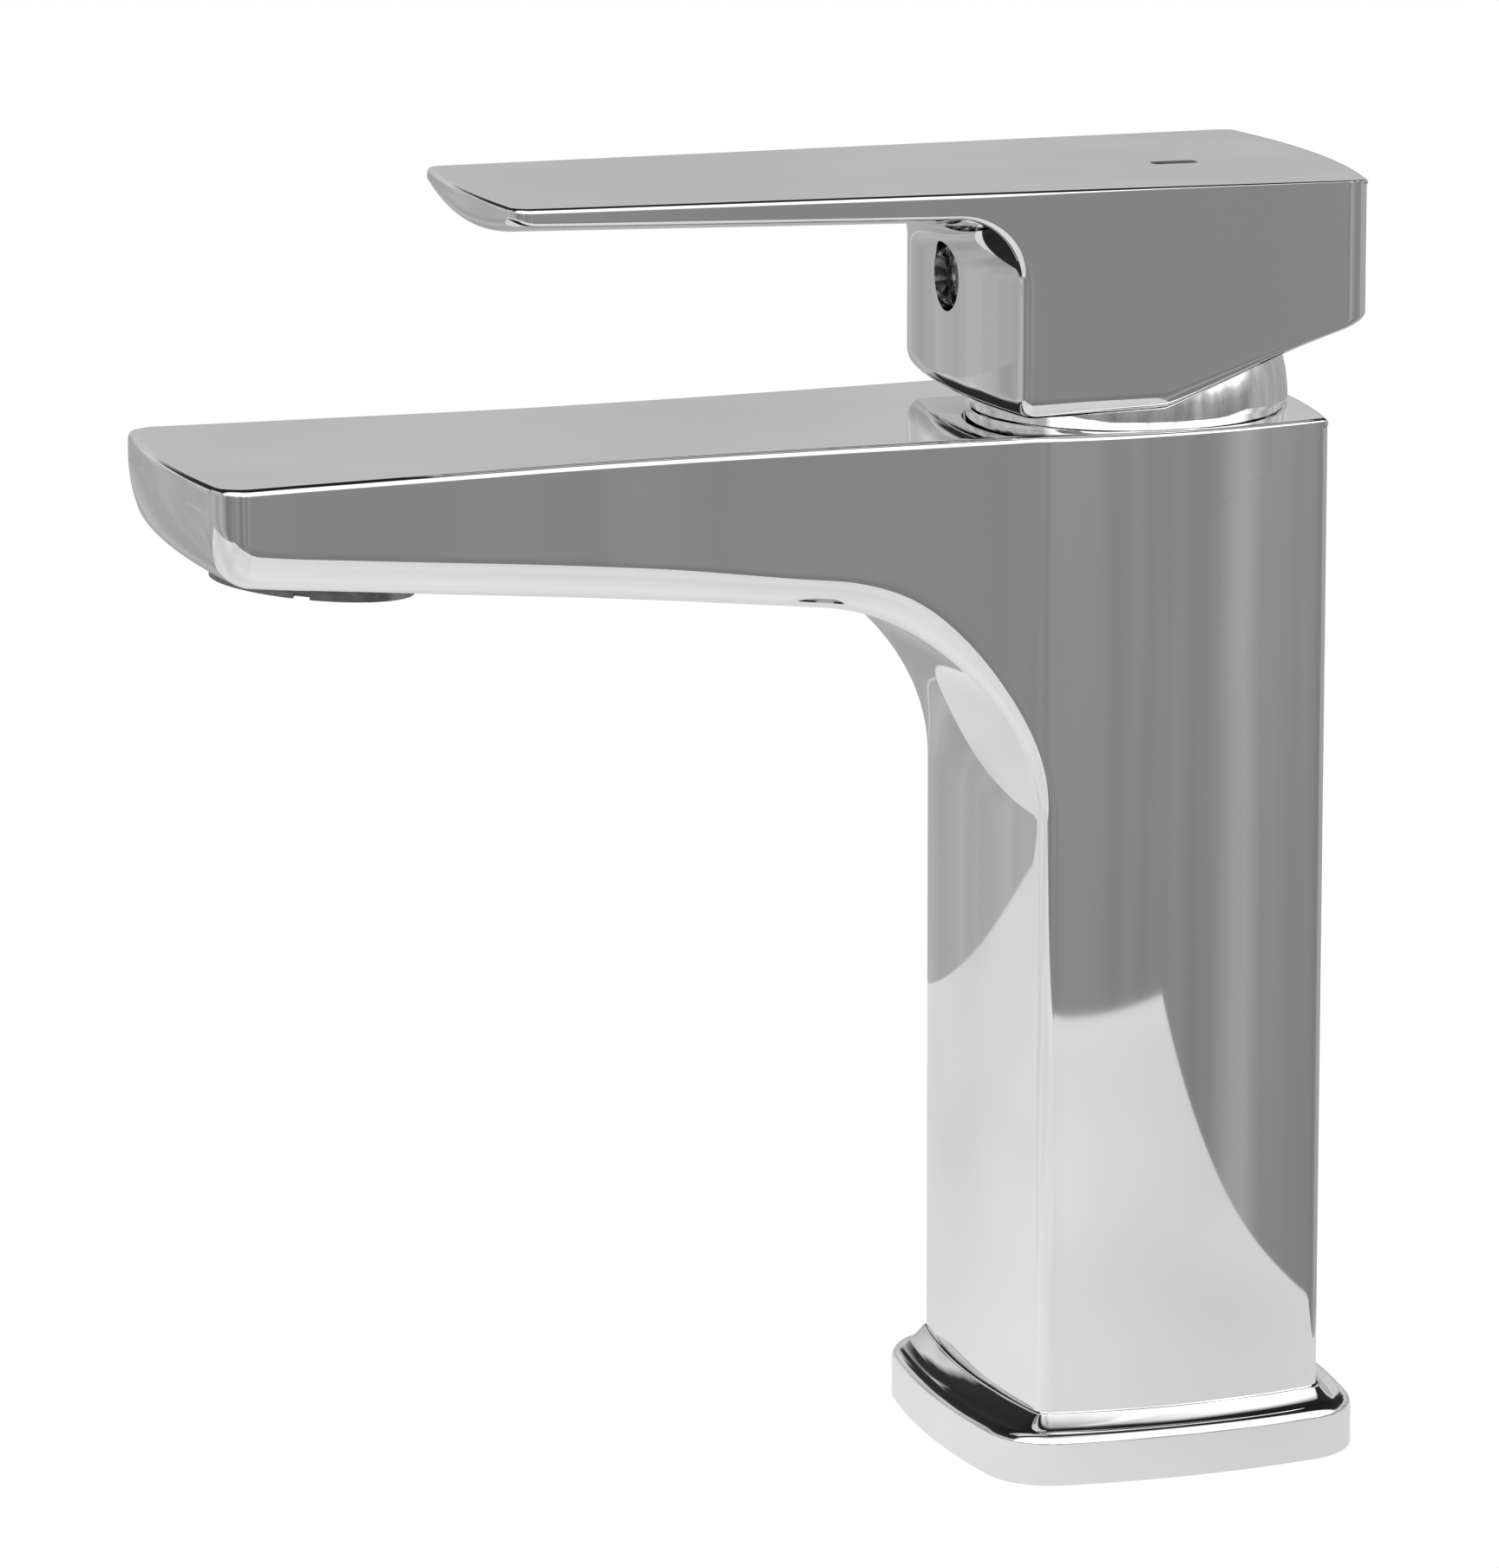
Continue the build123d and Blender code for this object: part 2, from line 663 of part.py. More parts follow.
with BuildPart() as stem_pin:
    with BuildSketch(Plane.YZ.offset(-pin_half_length)):
        with Locations((0, pivot_z)):
            Circle(pin_radius)
    extrude(amount=2 * pin_half_length)
save(stem_pin, "stem_pin")

with BuildPart() as cartridge_stem:
    with Locations((0, 0, ball_z)):
        Sphere(stem_ball_radius)
    with BuildSketch(Plane.XY.offset(ball_z)):
        Circle(stem_tail_radius)
    extrude(amount=stem_shaft_z - ball_z)
    with BuildSketch(Plane.XY.offset(stem_shaft_z)):
        Rectangle(stem_width, stem_width)
    extrude(amount=stem_top_z - stem_shaft_z)
    chamfer(cartridge_stem.faces().sort_by(Axis.Z)[-1].edges(), stem_chamfer)
    with BuildSketch(Plane.YZ.offset(-stem_width)):
        with Locations((0, pivot_z)):
            Circle(pin_radius + pin_clearance)
    extrude(amount=2 * stem_width, mode=Mode.SUBTRACT)
save(cartridge_stem, "cartridge_stem")

# ---- dome collar over the cartridge, and its ring ----
with BuildPart() as dome_collar:
    with Locations((0, 0, pivot_z)):
        Sphere(dome_radius)
        Sphere(dome_inner_radius, mode=Mode.SUBTRACT)
    with BuildSketch(Plane.XY.offset(neck_top_z)):
        Circle(2 * dome_radius)
    extrude(amount=dome_top_z - neck_top_z, mode=Mode.INTERSECT)
    # threaded skirt round the boss
    with BuildSketch(Plane.XY.offset(neck_top_z)):
        Circle(dome_radius - dome_wall / 2)
        Circle(boss_radius + boss_clearance, mode=Mode.SUBTRACT)
    extrude(amount=boss_height)
    dome_rim = dome_collar.edges().filter_by(GeomType.CIRCLE).sort_by(Axis.Z)[-2:]
    fillet(dome_rim, dome_rim_radius)
save(dome_collar, "dome_collar")

with BuildPart() as collar_oring:
    with BuildSketch(Plane.XY.offset(neck_top_z + boss_height / 2 - oring_height / 2 + oring_gap)):
        Circle(boss_radius + oring_gap)
        Circle(boss_radius - oring_width + oring_gap, mode=Mode.SUBTRACT)
    extrude(amount=oring_height - 2 * oring_gap)
save(collar_oring, "collar_oring")


# ---- lever ----
# height of the lever's top face, and of the middle of the blade's underside, at a place along Y
def lever_top_at(y):
    return lever_top_z - lever_rise * y


def blade_belly_at(y):
    tip_z = lever_top_at(lever_tip_y) - lever_edge_thickness - lever_belly
    return tip_z - blade_fall * (y - lever_tip_y)


# one side of the lever from the back corner to the tip corner
def lever_side_points():
    return (
        (head_back_half_width, head_back_y - head_back_bow),
        (head_half_width, 0),
        (lever_waist_half_width, lever_waist_y),
        (lever_tip_half_width, lever_tip_y + lever_tip_bow),
    )


def lever_plan():
    with BuildLine() as plan:
        side = Spline(*lever_side_points())
        ThreePointArc(side @ 1, (0, lever_tip_y), (-lever_tip_half_width, lever_tip_y + lever_tip_bow))
        mirror(side, about=Plane.YZ)
        ThreePointArc(side @ 0, (0, head_back_y), (-head_back_half_width, head_back_y - head_back_bow))
    with BuildSketch() as sketch:
        add(plan.line)
        make_face()
        fillet(sketch.vertices().group_by(Axis.Y)[0], lever_tip_corner_radius)
        fillet(sketch.vertices().group_by(Axis.Y)[-1], head_back_corner_radius)
    return sketch.sketch


# everything behind the bowed front face of the head
def head_front_mask():
    reach = 2 * head_half_width
    radius = (lever_waist_half_width**2 + head_front_bow**2) / (2 * head_front_bow)
    side_y = head_front_y + radius - sqrt(radius**2 - reach**2)
    with BuildLine() as outline:
        front = ThreePointArc((-reach, side_y), (0, head_front_y), (reach, side_y))
        Polyline(front @ 1, (reach, reach), (-reach, reach), front @ 0)
    with BuildSketch() as sketch:
        add(outline.line)
        make_face()
    return sketch.sketch


def head_side_view():
    back = 2 * head_back_y
    relief = tan(radians(head_relief_slope))
    with BuildLine() as profile:
        Polyline(
            (2 * head_front_y, lever_top_at(2 * head_front_y)),
            (2 * head_front_y, head_bottom_z),
            (head_relief_y - (head_side_z - head_bottom_z) / relief, head_bottom_z),
            (back, head_side_z + relief * (back - head_relief_y)),
            (back, lever_top_at(back)),
            close=True,
        )
    with BuildSketch() as sketch:
        add(profile.line)
        make_face()
    return sketch.sketch


# the under line runs a little below the belly, which trims it
def blade_side_view():
    tip = lever_tip_y - lever_tip_bow
    curl_run = lever_tip_bow + lever_tip_curl
    with BuildLine() as profile:
        top = Line((0, lever_top_at(0)), (tip, lever_top_at(tip)))
        upright = Line(top @ 1, (tip, lever_top_at(tip) - lever_tip_upright))
        curl_end = (tip + curl_run, blade_belly_at(tip + curl_run) - lever_belly_trim)
        curl = TangentArc(upright @ 1, curl_end, tangent=(0, -1))
        under = Line(curl @ 1, (0, blade_belly_at(0) - lever_belly_trim))
        Line(under @ 1, top @ 0)
    with BuildSketch() as sketch:
        add(profile.line)
        make_face()
    return sketch.sketch


# the blade's underside is a wide round belly, highest at the side edges
def belly_circle():
    half = lever_tip_half_width
    radius = (half**2 + lever_belly**2) / (2 * lever_belly)
    slope_angle = radians(lever_blade_slope)
    return radius, Plane(
        origin=(0, 2 * lever_tip_y, blade_belly_at(2 * lever_tip_y) + radius),
        x_dir=(1, 0, 0),
        z_dir=(0, cos(slope_angle), -sin(slope_angle)),
    )


belly_radius, belly_plane = belly_circle()

# room for the dome inside the head, less the boss that holds the stem
with BuildPart() as head_hollow:
    with Locations((0, 0, pivot_z)):
        Sphere(head_hollow_radius)
    with BuildSketch(Plane.XY.offset(stem_boss_bottom_z)):
        Circle(stem_boss_radius)
    extrude(amount=head_hollow_radius, mode=Mode.SUBTRACT)

with BuildPart() as head_blank:
    with BuildSketch(Plane.XY.offset(head_bottom_z)):
        add(head_front_mask())
    extrude(amount=lever_top_z)
    with BuildSketch(side_plane):
        add(head_side_view())
    extrude(amount=whole_width, mode=Mode.INTERSECT)

# blade and head wider than they end up, so the hollow between them runs out past both sides
with BuildPart() as lever_blank:
    with BuildSketch(side_plane):
        add(blade_side_view())
    extrude(amount=whole_width)
    with BuildSketch(belly_plane):
        Circle(belly_radius)
    extrude(amount=-4 * lever_tip_y, mode=Mode.INTERSECT)
    add(head_blank.part)
    with BuildSketch(side_plane.offset(2 * column_half_x - lever_blank_half_width)):
        Rectangle(-4 * lever_tip_y, 4 * lever_top_z)
    extrude(amount=2 * lever_blank_half_width, mode=Mode.INTERSECT)
    cove_edges = lever_blank.edges().filter_by_position(
        Axis.Y, head_front_y - lever_edge_radius, head_front_y + 2 * head_front_bow
    ).filter_by_position(Axis.Z, head_side_z, lever_top_z - lever_edge_radius)
    fillet(cove_edges.sort_by(SortBy.LENGTH)[-1], cove_radius)

mark_z = lever_top_at(mark_y)
mark_plane = Plane(
    origin=(mark_x, mark_y, mark_z),
    x_dir=(1, 0, 0),
    z_dir=(0, sin(radians(lever_top_slope)), cos(radians(lever_top_slope))),
)

screw_plane = Plane(origin=(0, head_front_y, screw_z), x_dir=(1, 0, 0), z_dir=(0, 1, 0))
stem_front_y = -stem_width / 2
screw_front_y = stem_front_y - screw_length

with BuildPart() as handle:
    with BuildSketch():
        add(lever_plan())
    extrude(amount=2 * lever_top_z)
    add(lever_blank.part, mode=Mode.INTERSECT)
    fillet(handle.faces().sort_by(Axis.Z)[-1].edges(), lever_edge_radius)
    add(head_hollow.part, mode=Mode.SUBTRACT)
    # socket of the stem
    with BuildSketch(Plane.XY.offset(pivot_z)):
        Rectangle(stem_width + 2 * stem_socket_clearance, stem_width + 2 * stem_socket_clearance)
    extrude(amount=stem_top_z + stem_socket_clearance - pivot_z, mode=Mode.SUBTRACT)
    # stepped hole of the grub screw and its cap
    with BuildSketch(screw_plane.offset(-head_front_bow)):
        Circle(screw_hole_radius)
    extrude(amount=head_front_bow + screw_seat_depth, mode=Mode.SUBTRACT)
    with BuildSketch(screw_plane):
        Circle(screw_radius + screw_clearance)
    extrude(amount=-head_front_y, mode=Mode.SUBTRACT)
    with BuildSketch(mark_plane.offset(-mark_depth)):
        Rectangle(mark_width + 2 * mark_clearance, mark_length + 2 * mark_clearance)
    extrude(amount=2 * mark_depth, mode=Mode.SUBTRACT)
save(handle, "handle")

with BuildPart() as handle_screw:
    with BuildSketch(Plane(origin=(0, screw_front_y, screw_z), x_dir=(1, 0, 0), z_dir=(0, 1, 0))):
        Circle(screw_radius)
    extrude(amount=screw_length)
    with BuildSketch(Plane(origin=(0, screw_front_y, screw_z), x_dir=(1, 0, 0), z_dir=(0, 1, 0))):
        RegularPolygon(screw_key_radius, 6)
    extrude(amount=screw_key_depth, mode=Mode.SUBTRACT)
    chamfer(handle_screw.faces().sort_by(Axis.Y)[-1].edges(), screw_chamfer)
save(handle_screw, "handle_screw")

# plug that hides the screw, with a slightly domed face
with BuildPart() as screw_cap:
    with BuildSketch(screw_plane.offset(cap_recess + cap_crown)):
        Circle(screw_hole_radius - screw_clearance)
    extrude(amount=cap_thickness)
    crown_radius = (screw_hole_radius**2 + cap_crown**2) / (2 * cap_crown)
    with BuildSketch(screw_plane.offset(cap_recess)):
        Circle(screw_hole_radius - screw_clearance)
    extrude(amount=cap_crown)
    with Locations((0, head_front_y + cap_recess + crown_radius, screw_z)):
        Sphere(crown_radius, mode=Mode.INTERSECT)
save(screw_cap, "screw_cap")

with BuildPart() as index_mark:
    with BuildSketch(mark_plane.offset(-mark_depth)):
        Rectangle(mark_width, mark_length)
    extrude(amount=mark_depth)
save(index_mark, "index_mark")

# ---- aerator, square to the spout's underside ----
with BuildPart() as aerator_housing:
    with BuildSketch(aerator_plane.offset(-aerator_lip)):
        Circle(aerator_lip_radius)
    extrude(amount=aerator_lip)
    with BuildSketch(aerator_plane):
        Circle(aerator_radius)
    extrude(amount=aerator_depth)
    with BuildSketch(aerator_plane.offset(-aerator_lip)):
        Circle(aerator_radius - aerator_wall)
    extrude(amount=aerator_lip + aerator_depth, mode=Mode.SUBTRACT)
    # ledge that carries the flow insert
    with BuildSketch(aerator_plane):
        Circle(aerator_radius - aerator_wall)
        Circle(aerator_radius - aerator_wall - aerator_ledge, mode=Mode.SUBTRACT)
    extrude(amount=aerator_ledge)
    with BuildSketch(aerator_plane.offset(-aerator_lip)):
        with PolarLocations(aerator_lip_radius, aerator_notch_count, start_angle=aerator_notch_turn):
            Rectangle(2 * (aerator_lip_radius - aerator_radius + aerator_wall), aerator_notch_width)
    extrude(amount=aerator_notch_depth, mode=Mode.SUBTRACT)
save(aerator_housing, "aerator_housing")

insert_radius = aerator_radius - aerator_wall - aerator_insert_gap
hole_reach = insert_radius - aerator_ledge - aerator_insert_gap

with BuildPart() as aerator_screen:
    with BuildSketch(aerator_plane.offset(aerator_ledge)):
        Circle(insert_radius)
        with PolarLocations(hole_reach / 3, 6):
            Circle(screen_hole_radius, mode=Mode.SUBTRACT)
        with PolarLocations(2 * hole_reach / 3, 12):
            Circle(screen_hole_radius, mode=Mode.SUBTRACT)
        with PolarLocations(hole_reach - screen_hole_radius, 18):
            Circle(screen_hole_radius, mode=Mode.SUBTRACT)
    extrude(amount=aerator_screen_height)
save(aerator_screen, "aerator_screen")

with BuildPart() as aerator_insert:
    with BuildSketch(aerator_plane.offset(aerator_ledge + aerator_screen_height)):
        Circle(insert_radius)
    extrude(amount=aerator_insert_height)
    with BuildSketch(aerator_plane.offset(aerator_ledge + aerator_screen_height)):
        with PolarLocations(hole_reach / 2, 8):
            Circle(aerator_hole_radius)
        with PolarLocations(hole_reach - screen_hole_radius, 16):
            Circle(aerator_hole_radius)
    extrude(amount=aerator_insert_height, mode=Mode.SUBTRACT)
save(aerator_insert, "aerator_insert")

with BuildPart() as aerator_seal:
    with BuildSketch(aerator_plane.offset(aerator_depth)):
        Circle(aerator_radius)
        Circle(aerator_pool_radius, mode=Mode.SUBTRACT)
    extrude(amount=aerator_seal_height)
save(aerator_seal, "aerator_seal")
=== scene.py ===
import json

import bpy
import numpy as np
from mathutils import Matrix, Vector


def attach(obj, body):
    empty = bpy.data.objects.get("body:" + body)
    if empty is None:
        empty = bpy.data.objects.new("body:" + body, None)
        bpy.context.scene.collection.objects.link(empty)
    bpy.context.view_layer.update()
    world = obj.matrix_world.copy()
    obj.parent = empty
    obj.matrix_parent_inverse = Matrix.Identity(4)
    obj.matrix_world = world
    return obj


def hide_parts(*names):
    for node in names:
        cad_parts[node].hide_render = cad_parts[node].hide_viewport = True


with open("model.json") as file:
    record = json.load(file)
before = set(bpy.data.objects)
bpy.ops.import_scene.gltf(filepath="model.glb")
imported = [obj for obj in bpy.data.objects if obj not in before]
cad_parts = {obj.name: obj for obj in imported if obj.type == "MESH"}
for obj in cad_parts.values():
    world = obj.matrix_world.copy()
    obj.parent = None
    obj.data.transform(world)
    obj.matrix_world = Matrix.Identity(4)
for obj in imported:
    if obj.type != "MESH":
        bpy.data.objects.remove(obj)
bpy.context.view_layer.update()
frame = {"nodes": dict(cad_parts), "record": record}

scene = bpy.context.scene
nodes = frame["nodes"]

# camera: place in millimetres, lens for a 36 mm sensor along the frame's long side
cameraSetup = {
    "place": (977.8, -380.9, 321.0),
    "aim": (-0.9238, 0.3129, -0.2211),
    "upHint": (-0.2020, 0.0712, 0.9768),
    "lens": 195.94,
}


def makeCamera(setup):
    data = bpy.data.cameras.new("productCamera")
    data.sensor_width = 36.0
    data.lens = setup["lens"]
    data.clip_start = 0.05
    data.clip_end = 20.0
    camera = bpy.data.objects.new("productCamera", data)
    scene.collection.objects.link(camera)
    back = -Vector(setup["aim"]).normalized()
    right = Vector(setup["upHint"]).cross(back).normalized()
    turn = Matrix((right, back.cross(right), back)).transposed().to_4x4()
    camera.matrix_world = Matrix.Translation(Vector(setup["place"]) / 1000) @ turn
    scene.camera = camera


makeCamera(cameraSetup)
scene.view_settings.view_transform = "Standard"
print("camera ready")


# mesh helpers, all in millimetres until addPiece
def addPiece(name, points, faces):
    mesh = bpy.data.meshes.new(name)
    mesh.from_pydata((points / 1000).tolist(), [], faces)
    mesh.polygons.foreach_set("use_smooth", np.ones(len(faces), bool))
    piece = bpy.data.objects.new(name, mesh)
    scene.collection.objects.link(piece)
    return piece


# rings is (count, around, 3); neighbours are joined by quads and both end rings are closed by fans
def skinRings(name, rings, capPoints):
    count, around = rings.shape[:2]
    index = np.arange(count * around).reshape(count, around)
    here, ahead = index[:-1], index[1:]
    quads = np.stack([here, np.roll(here, -1, 1), np.roll(ahead, -1, 1), ahead], -1).reshape(-1, 4)
    first, last = count * around, count * around + 1
    startFan = np.stack([np.full(around, first), np.roll(index[0], -1), index[0]], -1)
    endFan = np.stack([np.full(around, last), index[-1], np.roll(index[-1], -1)], -1)
    points = np.vstack([rings.reshape(-1, 3), np.array(capPoints, float)])
    return addPiece(name, points, quads.tolist() + startFan.tolist() + endFan.tolist())


# rings is (count, around, 3); neighbours are joined by quads and the last ring is joined to the first
def skinBand(name, rings):
    index = np.arange(rings.shape[0] * rings.shape[1]).reshape(rings.shape[:2])
    ahead = np.vstack([index[1:], index[:1]])
    quads = np.stack([index, np.roll(index, -1, 1), np.roll(ahead, -1, 1), ahead], -1).reshape(-1, 4)
    return addPiece(name, rings.reshape(-1, 3), quads.tolist())


# profile of (radius, height) turned about an axis through base along direction, closed at both ends:
# each point is base plus height along the axis plus radius along the spoke at that angle
def turnProfile(name, profile, base=(0, 0, 0), direction=(0, 0, 1), steps=96):
    profile = np.array(profile, float)
    axis = Vector(direction).normalized()
    side = np.array(axis.orthogonal().normalized())
    across = np.cross(np.array(axis), side)
    angle = np.linspace(0, 2 * np.pi, steps, endpoint=False)
    spoke = np.cos(angle)[:, None] * side + np.sin(angle)[:, None] * across
    rings = np.array(base) + profile[:, 1, None, None] * np.array(axis) + profile[:, 0, None, None] * spoke
    ends = [np.array(base) + profile[0, 1] * np.array(axis), np.array(base) + profile[-1, 1] * np.array(axis)]
    return skinRings(name, rings, ends)


sharpAngle = np.radians(38)


# cuts the cutters out of the piece, then drops them
def cutAway(piece, cutters):
    for cutter in cutters:
        cut = piece.modifiers.new("cut", "BOOLEAN")
        cut.object = cutter
        cut.operation = "DIFFERENCE"
        cut.solver = "EXACT"
    shape = bpy.data.meshes.new_from_object(piece.evaluated_get(bpy.context.evaluated_depsgraph_get()))
    piece.modifiers.clear()
    piece.data = shape
    for cutter in cutters:
        bpy.data.objects.remove(cutter)
    shape.set_sharp_from_angle(angle=sharpAngle)


# 3 v squared less 2 v cubed, with v held between 0 and 1
def eased(value):
    value = np.clip(value, 0, 1)
    return value * value * (3 - 2 * value)


# smooth curve through knots (place, value, slope), cubic between neighbours
def throughKnots(knots, place):
    table = np.array(sorted(knots), float)
    place = np.clip(place, table[0, 0], table[-1, 0])
    left = np.clip(np.searchsorted(table[:, 0], place, side="right") - 1, 0, len(table) - 2)
    a, b = table[left], table[left + 1]
    gap = b[..., 0] - a[..., 0]
    t = (place - a[..., 0]) / gap
    return (
        a[..., 1] * (1 + 2 * t) * (1 - t) ** 2
        + b[..., 1] * (3 - 2 * t) * t**2
        + gap * t * (1 - t) * (a[..., 2] * (1 - t) - b[..., 2] * t)
    )


# half width less the rounding of the plan's corners at the back and the tip: at each corner the radius
# less the root of the radius squared less the distance past the corner's centre squared
def planHalfWidth(y, width, backCentre, backRadius, tipCentre, tipRadius):
    behind = np.clip(y - backCentre, 0, backRadius)
    ahead = np.clip(tipCentre - y, 0, tipRadius)
    return (
        width
        - (backRadius - np.sqrt(backRadius**2 - behind**2))
        - (tipRadius - np.sqrt(tipRadius**2 - ahead**2))
    )


# where a ray from the hollow's centre meets the back face, the rounded top-back edge or the top plane
def outerCurve(centre, angle, backY, topAt, edge):
    ray = np.stack([np.cos(angle), np.sin(angle)], -1)
    cornerCentre = np.array([backY - edge, topAt(backY) - edge])
    toBack = (backY - centre[0]) / np.maximum(ray[:, 0], 1e-6)
    toTop = (topAt(centre[0]) - centre[1]) / np.maximum(ray[:, 1] - (topAt(1) - topAt(0)) * ray[:, 0], 1e-6)
    offset = cornerCentre - np.array(centre)
    along = ray @ offset
    apart = np.maximum(edge**2 - (offset @ offset - along**2), 0)
    toRound = along + np.sqrt(apart)
    reach = np.minimum(toBack, toTop)
    hit = np.array(centre) + reach[:, None] * ray
    onRound = (hit[:, 0] > cornerCentre[0]) & (hit[:, 1] > cornerCentre[1])
    reach = np.where(onRound, toRound, reach)
    return np.array(centre) + reach[:, None] * ray


# one hooked shape: rings whose lower side follows lowLine and upper side follows highLine in the side view.
# Across a ring: strip, rounded lower corner, side wall, rounded upper corner, strip, then the mirror half.
def hookRings(low, high, widthAt, lowRound, highRound, lowBow, highBow, counts):
    strip, corner, wall = counts
    stripShare = np.linspace(0, 1, strip, endpoint=False)
    turn = np.linspace(0, np.pi / 2, corner, endpoint=False)
    share = np.concatenate([stripShare, np.ones(corner)])
    sine = np.concatenate([np.zeros(strip), np.sin(turn)])
    rise = np.concatenate([np.zeros(strip), 1 - np.cos(turn)])
    climb = high - low
    length = np.linalg.norm(climb, axis=1)
    heading = climb / length[:, None]
    lowWidth = widthAt(low[:, 0] + lowBow * heading[:, 0] + lowRound * heading[:, 0])
    acrossLow = (lowWidth - lowRound)[:, None] * share + lowRound[:, None] * sine
    lowDepth = lowBow[:, None] * (acrossLow / lowWidth[:, None]) ** 2 + lowRound[:, None] * rise
    lowPart = low[:, None] + heading[:, None] * lowDepth[..., None]
    highWidth = widthAt(high[:, 0] - highBow - highRound * heading[:, 0])
    acrossHigh = (highWidth - highRound)[:, None] * share + highRound[:, None] * sine
    bowed = highBow[:, None] * (acrossHigh / highWidth[:, None]) ** 2
    highPart = high[:, None] - heading[:, None] * (highRound[:, None] * rise)[..., None]
    highPart = highPart - np.stack([bowed, np.zeros_like(bowed)], -1)
    lowEnd = low + heading * (lowBow + lowRound)[:, None]
    highEnd = high - heading * highRound[:, None] - np.stack([highBow, np.zeros_like(highBow)], -1)
    along = 1 - (1 - np.linspace(0, 1, wall)) ** 1.8
    wallPart = lowEnd[:, None] + (highEnd - lowEnd)[:, None] * along[None, :, None]
    wallAcross = widthAt(wallPart[..., 0])
    half = np.concatenate([lowPart, wallPart, highPart[:, ::-1]], 1)
    across = np.concatenate([acrossLow, wallAcross, acrossHigh[:, ::-1]], 1)
    right = np.concatenate([across[..., None], half], -1)
    left = right[:, -2:0:-1] * np.array([-1, 1, 1])
    return np.concatenate([right, left], 1)


bodySetup = {
    "halfX": 23.15, "halfY": 20.8, "bowRadius": 84.0, "bow": 2.1, "corner": 1.7,
    "top": 132.5, "foot": 4.5, "edge": 0.85,
    "bendRadius": 28.0, "slope": 5.9, "underAt": (-48.0, 112.3),
    "tip": -124.8, "tipBow": 1.2, "tipCorner": 4.4, "tipUpright": 129.2, "tipRadius": 17.0, "tipRoll": 5.5,
    "tipStart": -112.0, "arcFrom": -17.0, "arcReach": 40.0, "cornerSlack": 0.35,
    "columnLevels": (8.0, 20.0, 40.0, 60.0, 72.0, 80.0),
    "bendRound": (20.0, 50.0, 3.0), "spoutRound": (-46.0, 24.0, 4.7, 0.7), "tipRound": (5.4, 0.45),
    "bowFades": 55.0, "backBowFrom": -10.0, "plainRound": 0.02, "tipSpread": 2.2,
    "counts": (22, 14, 42),
    "sideKnots": ((-126, 23.0, -0.066), (-120, 22.6, -0.066), (-96, 21.0, -0.062), (-72, 19.6, -0.016),
                  (-46, 19.9, 0.03), (-23, 20.95, 0.06), (-17, 21.41, 0.2)),
}
chamberSetup = {"floor": 110.0, "radius": 12.6, "nutFloor": 128.9, "nutRadius": 15.15, "rim": 137.7}
# x, y, radius and top of the two inlets and the stud's hole
portSetup = ((-8, 3, 4.6, 26), (8, 3, 4.6, 26), (0, -9, 3.4, 22.5))
# (radius, height) of the neck and the threaded boss under the dome
bossSetup = (
    (19.5, 132.4), (19.5, 133.0), (19.4, 133.1), (16.9, 133.1), (16.9, 137.7), (15.15, 137.7), (15.15, 132.4),
)
aeratorSetup = {"y": -105.5, "bore": 12.1, "depth": 8.5, "out": 6.0}


# side wall of column and spout: behind, the half width less the sag of an arc of the bow radius (the radius
# less the root of its square less y squared); in front, a cubic through the knots
def bodyWidth(y):
    s = bodySetup
    reach = np.clip(y, -s["arcReach"], s["arcReach"])
    arc = s["halfX"] - (s["bowRadius"] - np.sqrt(s["bowRadius"] ** 2 - reach**2))
    width = np.where(y > s["arcFrom"], arc, throughKnots(s["sideKnots"], y))
    backCentre = s["halfY"] - s["bow"] - s["corner"] + s["cornerSlack"]
    return planHalfWidth(y, width, backCentre, s["corner"], s["tip"] + s["tipCorner"], s["tipCorner"])


